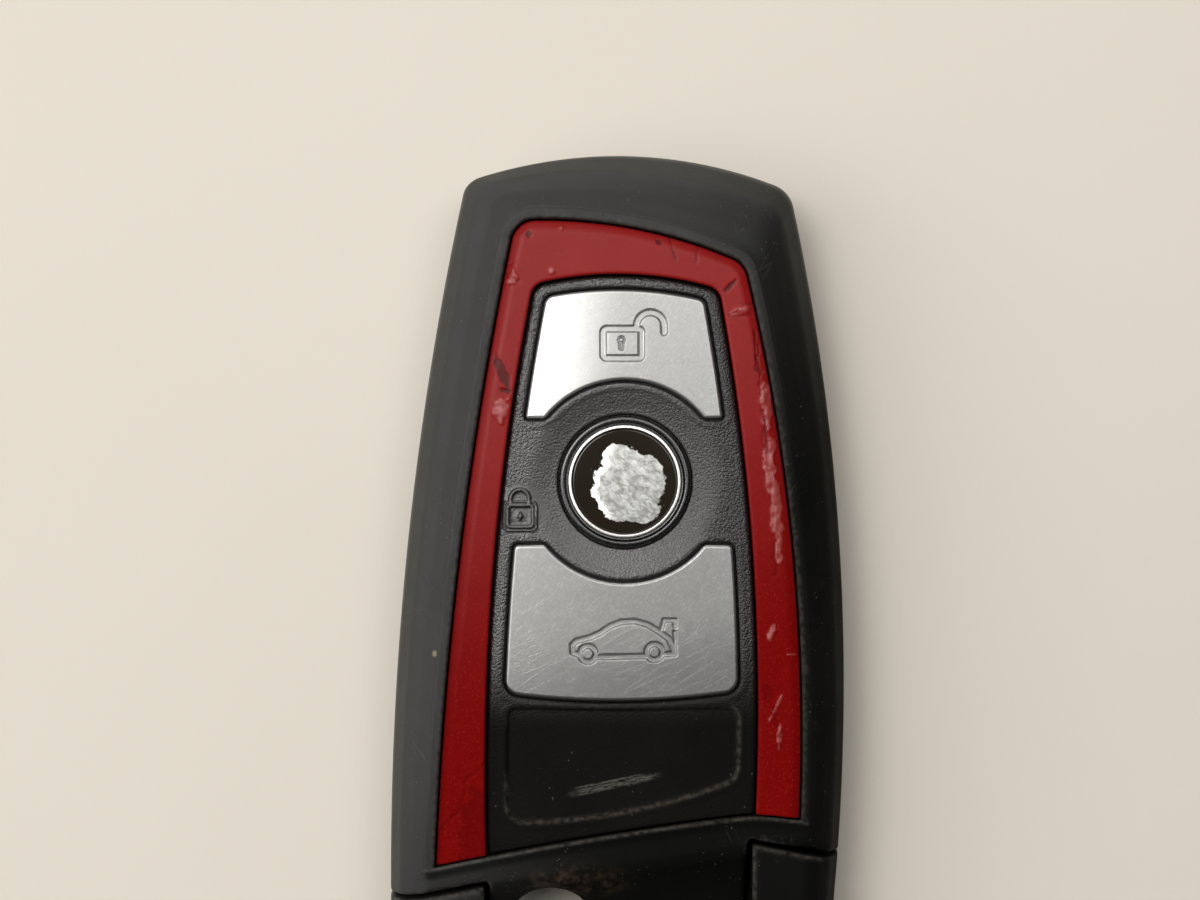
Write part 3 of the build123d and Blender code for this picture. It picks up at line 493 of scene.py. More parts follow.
def rear_form(x, y, z):
    """Field of the rear half of the whole fob."""
    rise = (REAR_DEPTH - z) / REAR_DEPTH
    flank = flank_field(x, y, rise, (widest, back), REAR_PROFILE)
    return common(common(flank, -z, 0.4), z - REAR_DEPTH + 0.02, 0.12)


def bezel_field(x, y, z):
    """Front bezel: sloping band, lip along the trim, step, tongue and scoop."""
    form = front_form(x, y, z)
    step = below_step(x, y)
    edge = trim.field(x, y)
    lip = common(common(edge - CREST_GROWTH, -step, 0.2), z - CREST - LIP_RISE, 0.2)
    form = either(form, common(lip, CREST - 1.0 - z), 1.1)
    form = common(form, z - CREST - LIP_RISE + 0.002, 0.1)
    opening = common(edge - GAP, -step, 0.1)
    form = without(form, common(opening, LEDGE_TOP - z), 0.18)
    form = without(form, common(panel.field(x, y), -step))
    form = without(form, common(common(inner_space(WALL, x, y), -step), z - REAR_DEPTH - 1.7))
    form = without(form, common(common(inner_space(LEDGE_WALL, x, y), -step), z - LEDGE_BOTTOM))
    form = without(form, bow_space(x, y), 0.3)
    form = without(form, scoop(x, y, z), 0.6)
    return without(form, bay(x, y), 0.5)


def bezel_wear(points):
    """Where the bezel's edges are rubbed pale and where grime has gathered."""
    x, y, z = points.T
    step = below_step(x, y)
    upper = ease((z - CREST + 0.7) / 0.3)
    across = ease((x - TRIM_LEFT + 1.2) / 0.6) * ease((TRIM_RIGHT + 1.0 - x) / 0.6)
    rim = bell(step + 0.1, 0.22) * across
    lip = bell(trim.field(x, y) - GAP - 0.15, 0.3) * ease(step / 0.5)
    seam = bell(bow_space(x, y) - 0.1, 0.3)
    ring = bell(bay(x, y) - 0.3, 0.5)
    edge = np.maximum.reduce([rim, 0.7 * lip, 0.5 * seam, 0.5 * ring]) * upper
    (middle_x, middle_y), (half_x, half_y) = GRIME
    grime = bell(np.hypot((x - middle_x) / half_x, (y - middle_y) / half_y), 1.0)
    return points, {"edge": edge, "grime": grime}


def trim_field(x, y, z):
    """Inverted U with a sloped outer band, level with the housing's crest."""
    edge = trim.field(x, y)
    slope = math.hypot(BEVEL_WIDTH, BEVEL_DROP)
    bevel = (edge * BEVEL_DROP + (z - CREST + BEVEL_DROP) * BEVEL_WIDTH) / slope
    solid = common(common(edge, z - CREST), bevel, 0.1)
    solid = common(solid, LEDGE_TOP - z)
    solid = without(solid, panel.field(x, y) - 0.04, 0.16)
    return common(solid, GAP - below_step(x, y), 0.12)


def stain(x, y, spot, reach, turn=0.0, rough=0.35, seed=1):
    """Ragged patch round a spot: 1 inside and 0 outside. reach is (half width, half length)."""
    cos, sin = math.cos(turn), math.sin(turn)
    u = ((x - spot[0]) * cos + (y - spot[1]) * sin) / reach[0]
    v = (-(x - spot[0]) * sin + (y - spot[1]) * cos) / reach[1]
    ragged = rough * (value_noise(x, y, 0.9, seed) + 0.6 * value_noise(x, y, 0.35, seed + 1))
    return ease((1.0 - np.hypot(u, v) + ragged) / 0.16)


# Where the lacquer has come off: spot, half sizes, turn, raggedness, share of it gone
PEELED = (
    ((-10.0, 21.6), (0.42, 1.5), 0.38, 0.35, 1.0),
    ((-9.75, 19.95), (0.5, 0.26), -0.2, 0.3, 1.0),
    ((-7.7, 33.45), (0.24, 0.3), 0.0, 0.3, 1.0),
    ((3.55, 32.75), (0.22, 0.26), 0.3, 0.4, 0.9),
    ((4.75, 32.1), (0.1, 1.15), 0.3, 0.3, 0.8),
    ((9.75, 29.1), (0.2, 0.95), -0.75, 0.4, 1.0),
    ((11.9, 23.0), (0.13, 1.6), 0.05, 0.6, 0.9),
    ((12.6, 17.8), (0.13, 2.2), 0.1, 0.7, 0.8),
    ((13.0, -5.9), (0.5, 0.9), 0.2, 0.5, 0.4),
    ((-11.7, -17.2), (2.0, 4.0), -0.35, 0.25, 0.45),
)
# Where it has lifted into pale blisters: spot, half sizes, turn, raggedness
BLISTERS = (
    ((-9.15, 29.7), (0.6, 0.6), 0.0, 0.5),
    ((-10.1, 18.6), (0.8, 1.1), 0.0, 0.5),
    ((-5.7, 30.3), (0.27, 0.27), 0.0, 0.2),
    ((-4.9, 34.05), (0.2, 0.2), 0.0, 0.2),
    ((10.6, 26.85), (1.0, 0.36), 0.4, 0.35),
    ((12.85, 18.7), (0.5, 2.4), 0.04, 0.35),
    ((13.2, 13.6), (0.56, 3.2), 0.06, 0.35),
    ((13.7, 9.4), (0.52, 2.6), 0.08, 0.35),
    ((13.9, 6.4), (0.3, 1.8), 0.0, 0.4),
    ((13.25, -0.85), (0.38, 0.95), -0.4, 0.3),
    ((15.0, -2.8), (0.5, 0.07), 0.0, 0.2),
    ((13.5, -7.7), (0.16, 1.3), -0.45, 0.5),
    ((13.95, -10.0), (0.16, 1.2), -0.1, 0.5),
)
# Fine cracks in it
CRACKS = (
    ((6.85, 33.0), (6.95, 31.9), (6.8, 31.0)),
    ((9.4, 26.4), (10.6, 27.1), (11.6, 27.5)),
    ((9.9, 26.35), (11.7, 26.45)),
    ((11.95, 23.9), (12.3, 21.5), (12.42, 19.1), (12.77, 17.7), (12.66, 15.3), (13.0, 13.4)),
    ((13.0, 13.4), (13.4, 10.5), (13.6, 7.0), (13.5, 4.0)),
    ((12.9, -6.5), (13.7, -8.2), (13.96, -9.6), (14.08, -11.0)),
    ((-11.5, -12.2), (-13.1, -13.6), (-13.7, -16.2), (-15.3, -17.9)),
    ((-9.2, 31.0), (-9.9, 30.2), (-8.6, 29.4)),
)


def lacquer(points):
    """Relief of the worn lacquer on the trim, and where film and blisters are."""
    x, y, z = points.T
    film = np.ones(len(x))
    for n, (spot, reach, turn, rough, gone) in enumerate(PEELED):
        film = np.minimum(film, 1 - gone * stain(x, y, spot, reach, turn, rough, 11 + n))
    blister = np.zeros(len(x))
    for n, (spot, reach, turn, rough) in enumerate(BLISTERS):
        blister = np.maximum(blister, stain(x, y, spot, reach, turn, rough, 41 + n))
    blister = blister * film
    ripple = 0.65 + 0.6 * value_noise(x, y, 0.5, 5)
    swell = SWELL * value_noise(x, y, 1.6, 3)
    lift = BLISTER_RISE * blister * ripple - FILM_DEPTH * (1 - film) + swell
    for n, path in enumerate(CRACKS):
        wander = 0.25 * value_noise(x, y, 0.6, 70 + n)
        crack = bell(stroke(x + wander, y, path, 0.02), 0.11)
        lift = lift - CRACK_DEPTH * crack
        film = np.minimum(film, 1 - 0.5 * crack)
    top = ease((z - CREST + 0.6) / 0.3)
    points = points.copy()
    points[:, 2] = np.minimum(z + lift * top, CREST + LIP_RISE)
    return points, {"film": film, "blister": blister}


def capsule(x, y, a, b, radius):
    """Field of a line with round ends."""
    run = (b[0] - a[0], b[1] - a[1])
    length = run[0] ** 2 + run[1] ** 2
    share = np.clip(((x - a[0]) * run[0] + (y - a[1]) * run[1]) / length, 0, 1)
    return np.hypot(x - a[0] - share * run[0], y - a[1] - share * run[1]) - radius


def stroke(x, y, path, width):
    """Field of a line of the given width through a path's points."""
    pairs = zip(path, path[1:])
    return np.minimum.reduce([capsule(x, y, a, b, width / 2) for a, b in pairs])


def block(x, y, middle, half, corner):
    """Field of a rectangle with rounded corners."""
    u = np.abs(x - middle[0]) - half[0] + corner
    v = np.abs(y - middle[1]) - half[1] + corner
    return np.hypot(np.maximum(u, 0), np.maximum(v, 0)) + np.minimum(np.maximum(u, v), 0) - corner


def arch(x, y, middle, radius, width, legs):
    """Field of an upright half ring with two legs of the given lengths."""
    ring = np.abs(np.hypot(x - middle[0], y - middle[1]) - radius) - width / 2
    half = np.maximum(ring, middle[1] - y)
    for side, length in zip((-1, 1), legs):
        foot = middle[0] + side * radius
        half = np.minimum(half, capsule(x, y, (foot, middle[1]), (foot, middle[1] - length), width / 2))
    return half


def open_padlock(x, y):
    """Engraved line of the open padlock on the unlock button."""
    width = 0.55
    body = np.abs(block(x, y, (0.4, 24.05), (1.66, 1.27), 0.3)) - width / 2
    shackle = arch(x, y, (2.82, 25.55), 1.19, width, (0.23, 0.55))
    keyhole = np.hypot(x - 0.32, y - 24.35) - 0.26
    keyhole = np.minimum(keyhole, capsule(x, y, (0.32, 24.3), (0.32, 23.65), 0.15))
    return np.minimum.reduce([body, shackle, np.abs(keyhole) - 0.06])


def closed_padlock(x, y):
    """Raised line of the closed padlock on the panel."""
    width = 0.3
    body = np.abs(block(x, y, PADLOCK, (1.1, 0.95), 0.3)) - width / 2
    outer = np.abs(block(x, y, PADLOCK, (1.4, 1.25), 0.4)) - 0.06
    shackle = arch(x, y, (-8.49, 10.6), 0.8, width, (0.5, 0.5))
    keyhole = np.minimum(
        capsule(x, y, (-8.45, 9.35), (-8.45, 8.85), 0.1),
        capsule(x, y, (-8.6, 9.1), (-8.3, 9.1), 0.1),
    )
    return np.minimum.reduce([body, outer, shackle, keyhole])


CAR_ROOF = (
    (-3.9, -2.7), (-3.95, -2.05), (-3.6, -1.7), (-2.44, -1.4), (-1.52, -1.0), (-0.7, -0.42),
    (0.3, -0.05), (1.49, 0.02), (2.6, -0.3), (3.6, -0.9), (4.4, -1.5), (4.72, -2.1), (4.9, -2.8),
)
# Path and share of the line's width
CAR_LINES = (
    (CAR_ROOF, 1.0),
    (((3.75, -0.75), (4.0, 0.1), (4.95, 0.1), (4.95, -0.4)), 0.8),
    (((-1.9, -3.1), (2.4, -3.0)), 1.0),
    (((-3.9, -2.7), (-3.3, -2.95)), 1.0),
    (((3.9, -2.85), (4.9, -2.8)), 1.0),
    (((4.9, -0.9), (4.95, -2.7)), 0.6),
)
CAR_WHEELS = ((-2.6, -2.81), (3.17, -2.65))
WHEEL_RADIUS = 0.68


def open_boot(x, y):
    """Engraved line of the car with its boot open on the trunk button."""
    width = 0.46
    lines = [stroke(x, y, path, width * share) for path, share in CAR_LINES]
    for middle in CAR_WHEELS:
        run = np.hypot(x - middle[0], y - middle[1])
        lines.append(np.abs(run - WHEEL_RADIUS) - width / 2)
    return np.minimum.reduce(lines)


def near_badge(x, y):
    """Distance from the badge's middle."""
    return np.hypot(x - BADGE[0], y - BADGE[1])


def button_outline(outline, x, y):
    """Field of a button's face with the arc round the badge taken out."""
    return common(outline.field(x, y), BUTTON_ARC - near_badge(x, y), 0.2)


def panel_top(x, y):
    """Height of the panel: rims round the openings, dish round the badge, recess."""
    top = PANEL_TOP + 0 * x * y
    top = top - EDGE_FALL * ease((panel.field(x, y) + 0.5) / 0.5)
    for outline in (unlock, trunk):
        top = top + BUTTON_RIM * bell(button_outline(outline, x, y) - 0.62, 0.5)
    hollow = hollow_field(x, y)
    top = top + RECESS_RIM * bell(hollow - 0.35, 0.5)
    top = top - RECESS_DEPTH * ease((0.1 - hollow) / 0.36)
    run = near_badge(x, y)
    dish = ease((DISH_RADIUS - run) / (DISH_RADIUS - BADGE_RADIUS))
    top = top - DISH_DROP * dish
    return top + PADLOCK_RISE * ease(0.5 - closed_padlock(x, y) / PADLOCK_RISE)


def hollow_field(x, y):
    """Field of the recess, which follows the trunk button's lower edge."""
    side = trunk.sides[3]
    above = np.hypot(x - side[1], y - side[0] - side[2]) - side[2] - RECESS_MARGIN
    return common(recess.field(x, y), -above, 0.9)


def panel_field(x, y, z):
    """Button panel with its openings and pockets."""
    step = below_step(x, y) - GAP
    solid = common(panel.field(x, y) + 0.1, -step, 0.2)
    solid = common(solid, z - panel_top(x, y), 0.2)
    flange = common(common(panel.field(x, y) - 1.2, -step), z - PANEL_BOTTOM - 0.8)
    solid = common(np.minimum(solid, flange), PANEL_BOTTOM - z)
    for outline in (unlock, trunk):
        button = button_outline(outline, x, y)
        solid = without(solid, common(button - BUTTON_GAP, POCKET_CEILING - 0.1 - z), 0.14)
        solid = without(solid, common(button - 0.6, z - POCKET_CEILING))
    hole = near_badge(x, y) - BADGE_RADIUS - BADGE_GAP
    solid = without(solid, hole, 0.16)
    return without(solid, common(hole - 0.95, z - POCKET_CEILING))


def panel_wear(points):
    """Where the recess's lower and right edges, and its upper one a little, are rubbed pale."""
    x, y, z = points.T
    hollow = hollow_field(x, y)
    share = np.maximum(ease((-12.6 - y) / 2.0), ease((x - 8.4) / 1.2))
    share = np.maximum(share, 0.35 * ease((y + 9.5) / 1.0))
    line = bell(hollow - 0.02, 0.34) * share * (z > PANEL_TOP - 1.0)
    return points, {"edge": line}


def cap_field(outline, icon):
    """Field of a button's cap with an engraved icon."""
    def field(x, y, z):
        face = BUTTON_TOP - CROWN * (x - BADGE[0]) ** 2
        face = face - ICON_DEPTH * ease(0.5 - icon(x, y) / ICON_WALL)
        edge = button_outline(outline, x, y)
        return common(common(edge, z - face, 0.26), BUTTON_BOTTOM - z)
    return field


def box_field(x, y, z, box):
    """Field of a box, given by its low and high end along each axis."""
    return np.maximum.reduce([
        np.maximum(low - value, value - high) + 0 * (x + y + z)
        for value, (low, high) in zip((x, y, z), box)
    ])


def bow_field(x, y, z):
    """Bow of the emergency key: two shoulders and the end bar."""
    whole = either(front_form(x, y, z), rear_form(x, y, z))
    gap = DEEP_GAP + (SEAM_GAP - DEEP_GAP) * ease((z - SEAM_LEVEL) / 0.8)
    whole = common(whole, bow_space(x, y) + gap, 0.4)
    tongue = common(scoop(x, y, z), np.maximum(x - TONGUE_RIGHT, TONGUE_LEFT - x))
    whole = without(whole, tongue, 0.4)
    return without(without(whole, box_field(x, y, z, BLADE_ROOT)), box_field(x, y, z, BED))


def bow_wear(points):
    """Where the bow's edges along the seams are rubbed pale."""
    x, y, z = points.T
    seam = bell(bow_space(x, y) + SEAM_GAP + 0.1, 0.35)
    return points, {"edge": 0.8 * seam * ease((z - CREST + 1.5) / 0.6)}


def lathe(name, profile, middle, segments=144):
    """Closed ring swept round an upright axis from a profile of (radius, height)."""
    turns = np.linspace(0, 2 * math.pi, segments, endpoint=False)
    radii, heights = np.array(profile).T
    x = middle[0] + np.outer(np.cos(turns), radii)
    y = middle[1] + np.outer(np.sin(turns), radii)
    z = np.outer(np.ones(segments), heights)
    points = np.stack([x, y, z], 2).reshape(-1, 3)
    count = len(profile)
    ring = np.arange(segments)[:, None] * count
    after = (np.arange(segments)[:, None] + 1) % segments * count
    here = np.arange(count - 1)[None, :]
    quads = np.stack([ring + here, after + here, after + here + 1, ring + here + 1], 2)
    piece = mesh_object(name, points, quads.reshape(-1, 4))
    edit = bmesh.new()
    edit.from_mesh(piece.data)
    bmesh.ops.remove_doubles(edit, verts=edit.verts, dist=1e-7)
    bmesh.ops.recalc_face_normals(edit, faces=edit.faces)
    edit.to_mesh(piece.data)
    edit.free()
    return piece


def fillet(corner, before, after, radius, count=5):
    """Points of a rounded corner in a profile."""
    corner = np.array(corner)
    start, end = (
        corner + (np.array(point) - corner) * radius / math.dist(point, corner)
        for point in (before, after)
    )
    share = np.linspace(0, 1, count + 1)[:, None]
    arc = (1 - share) ** 2 * start + 2 * share * (1 - share) * corner + share**2 * end
    return [tuple(point) for point in arc]


def rounded(profile, radii):
    """Profile with its inner corners rounded by the given radii."""
    points = [profile[0]]
    for before, corner, after, radius in zip(profile, profile[1:], profile[2:], radii):
        points += fillet(corner, before, after, radius) if radius else [corner]
    return points + [profile[-1]]


def make_badge():
    """Holder, bright ring, foil and lens of the badge."""
    holder = rounded(
        [(0, NUB_TIP), (2.2, NUB_TIP), (2.2, FLANGE_BOTTOM), (6.6, FLANGE_BOTTOM),
         (6.6, POCKET_CEILING), (BADGE_RADIUS, POCKET_CEILING), (BADGE_RADIUS, BADGE_TOP - 0.02),
         (5.22, BADGE_TOP), (5.1, RING_LEDGE), (RING_RADIUS + 0.02, RING_LEDGE),
         (RING_RADIUS + 0.02, SEAT), (0, SEAT)],
        (0.1, 0.1, 0.1, 0.1, 0.1, 0.16, 0.14, 0.1, 0.08, 0.03, 0.03),
    )
    ring = rounded(
        [(LENS_RADIUS, SEAT), (RING_RADIUS, SEAT), (RING_RADIUS, BADGE_TOP + 0.08),
         (LENS_RADIUS, BADGE_TOP + 0.1), (LENS_RADIUS, SEAT)],
        (0.04, 0.1, 0.08),
    )
    foil = rounded(
        [(0, SEAT), (LENS_RADIUS, SEAT), (LENS_RADIUS, SEAT + 0.25), (0, SEAT + 0.25)], (0.05, 0.05)
    )
    shares = np.linspace(1, 0, 24)
    dome = [(LENS_RADIUS * share, LENS_EDGE + LENS_RISE * (1 - share**2)) for share in shares]
    lens = [(0, SEAT + 0.25), (LENS_RADIUS - 0.02, SEAT + 0.25), (LENS_RADIUS, SEAT + 0.3)] + dome
    return {
        "lock_button": lathe("badge_holder", holder, BADGE),
        "badge_ring": lathe("badge_bright_ring", ring, BADGE),
        "badge_foil": lathe("badge_foil_disc", foil, BADGE),
        "badge_lens": lathe("badge_dome", lens, BADGE),
    }


# Pieces made from fields, by the node each stands for: body, slot, and what formed() takes
CAP_LEFT, CAP_RIGHT = -11.0, 11.6
FORMS = {
    "front_bezel": (
        "housing", "soft_touch_black", "front_bezel_skin", bezel_field,
        (-20.6, -36.2, REAR_DEPTH - 0.3), (20.6, 41.4, CREST + 0.6), 0.17, 0.35, bezel_wear,
    ),
    "trim_insert": (
        "housing", "red_lacquer", "trim_lacquered", trim_field,
        (-16.4, -22.2, LEDGE_TOP - 0.3), (16.4, 35.2, CREST + 0.4), 0.12, 0.6, lacquer,
    ),
    "button_panel": (
        "housing", "grained_black", "panel_grained", panel_field,
        (-13.2, -21.6, PANEL_BOTTOM - 0.2), (13.8, 31.6, PANEL_TOP + 0.4), 0.115, 0.4, panel_wear,
    ),
    "unlock_button": (
        "unlock_button", "satin_silver", "unlock_cap", cap_field(unlock, open_padlock),
        (CAP_LEFT, 17.2, BUTTON_BOTTOM - 0.2), (CAP_RIGHT, 29.2, BUTTON_TOP + 0.2), 0.075, 0.4,
    ),
    "trunk_button": (
        "trunk_button", "satin_silver", "trunk_cap", cap_field(trunk, open_boot),
        (CAP_LEFT, -7.3, BUTTON_BOTTOM - 0.2), (CAP_RIGHT, 7.1, BUTTON_TOP + 0.2), 0.075, 0.4,
    ),
    "key_bow": (
        "emergency_key", "soft_touch_black", "bow_skin", bow_field,
        (-20.6, -41.4, -0.3), (20.6, -18.4, CREST + 0.4), 0.22, 0.45, bow_wear,
    ),
}


# Materials and light
class Nodes:
    """Helpers for the nodes that end in a shader."""

    def __init__(self, owner, shader, color, coordinates):
        owner.use_nodes = True
        self.tree = owner.node_tree
        self.shader = self.tree.nodes[shader]
        self.shader.inputs[0].default_value = (*color, 1)
        self.place = self.node("ShaderNodeTexCoord", {}).outputs[coordinates]

    def node(self, kind, inputs, **settings):
        """New node with its inputs linked or set, by title or number."""
        node = self.tree.nodes.new(kind)
        for title, value in settings.items():
            setattr(node, title, value)
        for title, value in inputs.items():
            if isinstance(value, bpy.types.NodeSocket):
                self.tree.links.new(value, node.inputs[title])
            else:
                node.inputs[title].default_value = value
        return node

    def math(self, operation, a, b=0.0):
        """Arithmetic on two values."""
        return self.node("ShaderNodeMath", {0: a, 1: b}, operation=operation).outputs[0]

    def times(self, a, b):
        """Product of two values."""
        return self.math("MULTIPLY", a, b)

    def spread(self, value, source, target, kind="SMOOTHSTEP"):
        """Value mapped from one range to another; either may run downwards."""
        inputs = dict(zip(("From Min", "From Max", "To Min", "To Max"), source + target))
        inputs["Value"] = value
        return self.node("ShaderNodeMapRange", inputs, interpolation_type=kind).outputs["Result"]

    def set(self, title, socket):
        """Link a socket to the shader."""
        self.tree.links.new(socket, self.shader.inputs[title])


class Look(Nodes):
    """Material with a Principled shader. Sizes are in millimetres."""

    def __init__(self, name, color, roughness, **sockets):
        self.material = bpy.data.materials.new(name)
        super().__init__(self.material, "Principled BSDF", color, "Object")
        for title, value in {"Roughness": roughness, **sockets}.items():
            self.shader.inputs[title.replace("_", " ")].default_value = value

    def band(self, value, low, high):
        """0 at low to 1 at high, smooth. High may be the lower one."""
        return self.spread(value, (low, high), (0.0, 1.0))

    def range(self, value, low, high):
        """Value from 0 to 1 spread from low to high."""
        return self.spread(value, (0.0, 1.0), (low, high), "LINEAR")

    def reach(self, spot):
        """Distance from a place."""
        inputs = {0: self.place, 1: tuple(value * MM for value in spot)}
        node = self.node("ShaderNodeVectorMath", inputs, operation="DISTANCE")
        return self.times(node.outputs["Value"], 1 / MM)

    def along(self, way):
        """Distance along a direction."""
        inputs = {0: self.place, 1: (way[0] / MM, way[1] / MM, 0)}
        return self.node("ShaderNodeVectorMath", inputs, operation="DOT_PRODUCT").outputs["Value"]

    def layer(self, title):
        """A value kept on the mesh's points."""
        return self.node("ShaderNodeAttribute", {}, attribute_name=title).outputs["Fac"]

    def stretched(self, sizes, turn=0.0, start=(0, 0)):
        """Coordinates from a start, turned about Z, in lengths of the given sizes."""
        inputs = {
            "Vector": self.place, "Location": (start[0] * MM, start[1] * MM, 0),
            "Rotation": (0, 0, turn), "Scale": tuple(size * MM for size in sizes),
        }
        return self.node("ShaderNodeMapping", inputs, vector_type="TEXTURE").outputs["Vector"]

    def noise(self, size, detail=3.0, rough=0.55, turn=0.0, seed=0.0, warp=0.0):
        """Noise with lumps of the given size, a number or one per axis."""
        sizes = size if isinstance(size, tuple) else (size, size, size)
        inputs = {
            "Vector": self.stretched(sizes, turn), "W": seed, "Scale": 1.0, "Detail": detail,
            "Roughness": rough, "Distortion": warp,
        }
        return self.node("ShaderNodeTexNoise", inputs, noise_dimensions="4D").outputs["Fac"]

    def patches(self, low, high, size, detail=3.0, rough=0.55, **more):
        """Noise turned into patches: 0 below low and 1 above high."""
        return self.band(self.noise(size, detail, rough, **more), low, high)

    def cells(self, size, feature="F1", turn=0.0):
        """Distance field of scattered points or of the edges between their cells."""
        sizes = size if isinstance(size, tuple) else (size, size, size)
        inputs = {"Vector": self.stretched(sizes, turn), "Scale": 1.0}
        return self.node("ShaderNodeTexVoronoi", inputs, feature=feature).outputs["Distance"]

    def streak(self, start, end, width, seed):
        """Ragged straight scuff between two places: 1 on it."""
        run = (end[0] - start[0], end[1] - start[1])
        turn = math.atan2(run[1], run[0])
        sizes = (math.hypot(*run), width, 1)
        place = self.node("ShaderNodeSeparateXYZ", {0: self.stretched(sizes, turn, start)})
        across = self.band(self.math("ABSOLUTE", place.outputs["Y"]), 1.0, 0.2)
        along = self.math("ABSOLUTE", self.math("SUBTRACT", place.outputs["X"], 0.5))
        fray = self.patches(0.35, 0.6, (0.6, 0.12, 1.0), turn=turn, seed=seed)
        return self.times(self.times(across, self.band(along, 0.5, 0.3)), fray)

    def blend(self, share, a, b):
        """Colour between a and b."""
        a, b = ((*color, 1) if isinstance(color, tuple) else color for color in (a, b))
        return self.node("ShaderNodeMix", {0: share, 6: a, 7: b}, data_type="RGBA").outputs[2]

    def tint(self, color, mask, share, other):
        """Colour with a share of another one where the mask is 1."""
        return self.blend(self.times(mask, share), color, other)

    def bump(self, height, depth, strength=1.0, below=None):
        """Bump of the given depth over another bump."""
        inputs = {"Height": height, "Strength": strength, "Distance": depth * MM}
        if below:
            inputs["Normal"] = below
        return self.node("ShaderNodeBump", inputs).outputs["Normal"]

    def vary(self, title, low, high, size, detail=3.0, seed=0.0):
        """Let a value of the shader wander between two numbers."""
        self.set(title, self.range(self.noise(size, detail, seed=seed), low, high))


def scratch_lines(look, size, turn, keep, width=0.02):
    """Sparse fine scratches: 1 on a scratch. keep is the share of the surface without any."""
    lines = look.band(look.cells(size, "DISTANCE_TO_EDGE", turn), width, 0.0)
    return look.times(lines, look.patches(keep, keep + 0.1, 5.0, 2.0, seed=turn * 7))


def dust_specks(look, size, share=0.06):
    """Small pale specks: 1 on a speck."""
    spots = look.band(look.cells(size), share + 0.05, share)
    return look.times(spots, look.patches(0.52, 0.6, size * 4, 1.0, seed=5.0))


def soft_touch_black():
    """Rubbery matt black with faint mottling, rubbed edges, scratches and dust, and a painted sheen that
    fades from the upper left to the lower right.
    """
    look = Look("soft_touch_black", (0.005, 0.005, 0.0045), 0.55, Specular_IOR_Level=0.2)
    mottle = look.noise(6.0, 4.0)
    scratches = look.math(
        "MAXIMUM", scratch_lines(look, (0.7, 9.0, 9.0), 0.5, 0.56),
        scratch_lines(look, (0.9, 7.0, 7.0), -0.9, 0.6),
    )
    dust = look.math("MAXIMUM", dust_specks(look, 0.9), dust_specks(look, 0.5, 0.08))
    color = look.blend(mottle, (0.0032, 0.0034, 0.0028), (0.007, 0.007, 0.006))
    color = look.tint(color, scratches, 0.2, (0.1, 0.1, 0.095))
    color = look.tint(color, dust, 0.35, (0.16, 0.15, 0.135))
    rubbed = look.times(look.layer("edge"), look.patches(0.3, 0.65, 0.5, 4.0, seed=9.0))
    color = look.tint(color, rubbed, 0.8, (0.06, 0.056, 0.048))
    lumps = look.patches(0.4, 0.7, 1.3, 5.0, 0.7, seed=7.0)
    dirt = look.times(look.layer("grime"), lumps)
    color = look.tint(color, dirt, 0.8, (0.075, 0.05, 0.033))
    fleck = look.band(look.reach(FLECK), 0.4, 0.15)
    color = look.tint(color, fleck, 0.7, (0.22, 0.18, 0.11))
    look.set("Base Color", color)
    # Painted sheen: the black is glossiest towards the upper left, where the light comes from, and nearly
    # matt towards the lower right.
    lit = look.band(look.along((-1.0, 0.5)), -11.0, 15.0)
    look.set("Specular IOR Level", look.range(lit, 0.02, 0.46))
    look.vary("Roughness", 0.46, 0.64, 2.5, 4.0, 1.0)
    grain = look.bump(look.noise(0.35, 3.0, seed=2.0), 0.02, 0.5)
    look.set("Normal", look.bump(scratches, -0.015, 0.5, grain))
    return look.material


def red_lacquer():
    """Worn red lacquer: glossy film, darker matt where it has come off, blisters that are paler partly by
    a painted highlight. Its colour and gloss fall off towards the bottom and right: painted shade.
    """
    look = Look("red_lacquer", (0.2, 0.006, 0.006), 0.38)
    film = look.layer("film")
    blister = look.layer("blister")
    cloud = look.noise(4.0, 3.0)
    # Painted light and shade: the red is brighter and glossier towards the top and left, and darker and
    # duller towards the bottom and right. The first red pair below is its painted shaded end and the
    # second its painted lit end.
    painted_light_share = look.band(look.along((-0.3, 1.0)), -8.0, 28.0)
    sheen = look.range(painted_light_share, 0.005, 0.17)
    look.set("Specular IOR Level", look.math("ADD", sheen, look.times(blister, 0.35)))
    worn = look.blend(cloud, (0.145, 0.002, 0.002), (0.18, 0.0035, 0.003))
    lit_red = look.blend(cloud, (0.21, 0.0045, 0.0045), (0.27, 0.008, 0.0075))
    color = look.blend(painted_light_share, worn, lit_red)
    color = look.blend(look.patches(0.55, 0.8, 0.16, 2.0, seed=3.0), color, (0.3, 0.018, 0.015))
    color = look.blend(film, (0.085, 0.002, 0.003), color)
    # The blisters' paler colour is partly their own and partly a painted highlight.
    look.set("Base Color", look.tint(color, blister, 0.22, (0.45, 0.1, 0.09)))
    look.vary("Roughness", 0.34, 0.44, 1.6, 4.0, 1.0)
    wrinkle = look.noise((0.5, 1.2, 1.0), 4.0, 0.6, warp=1.5, seed=6.0)
    base = look.bump(wrinkle, 0.02, 0.25)
    look.set("Normal", look.bump(look.noise(0.2, 2.0, seed=8.0), 0.006, 0.4, base))
    return look.material


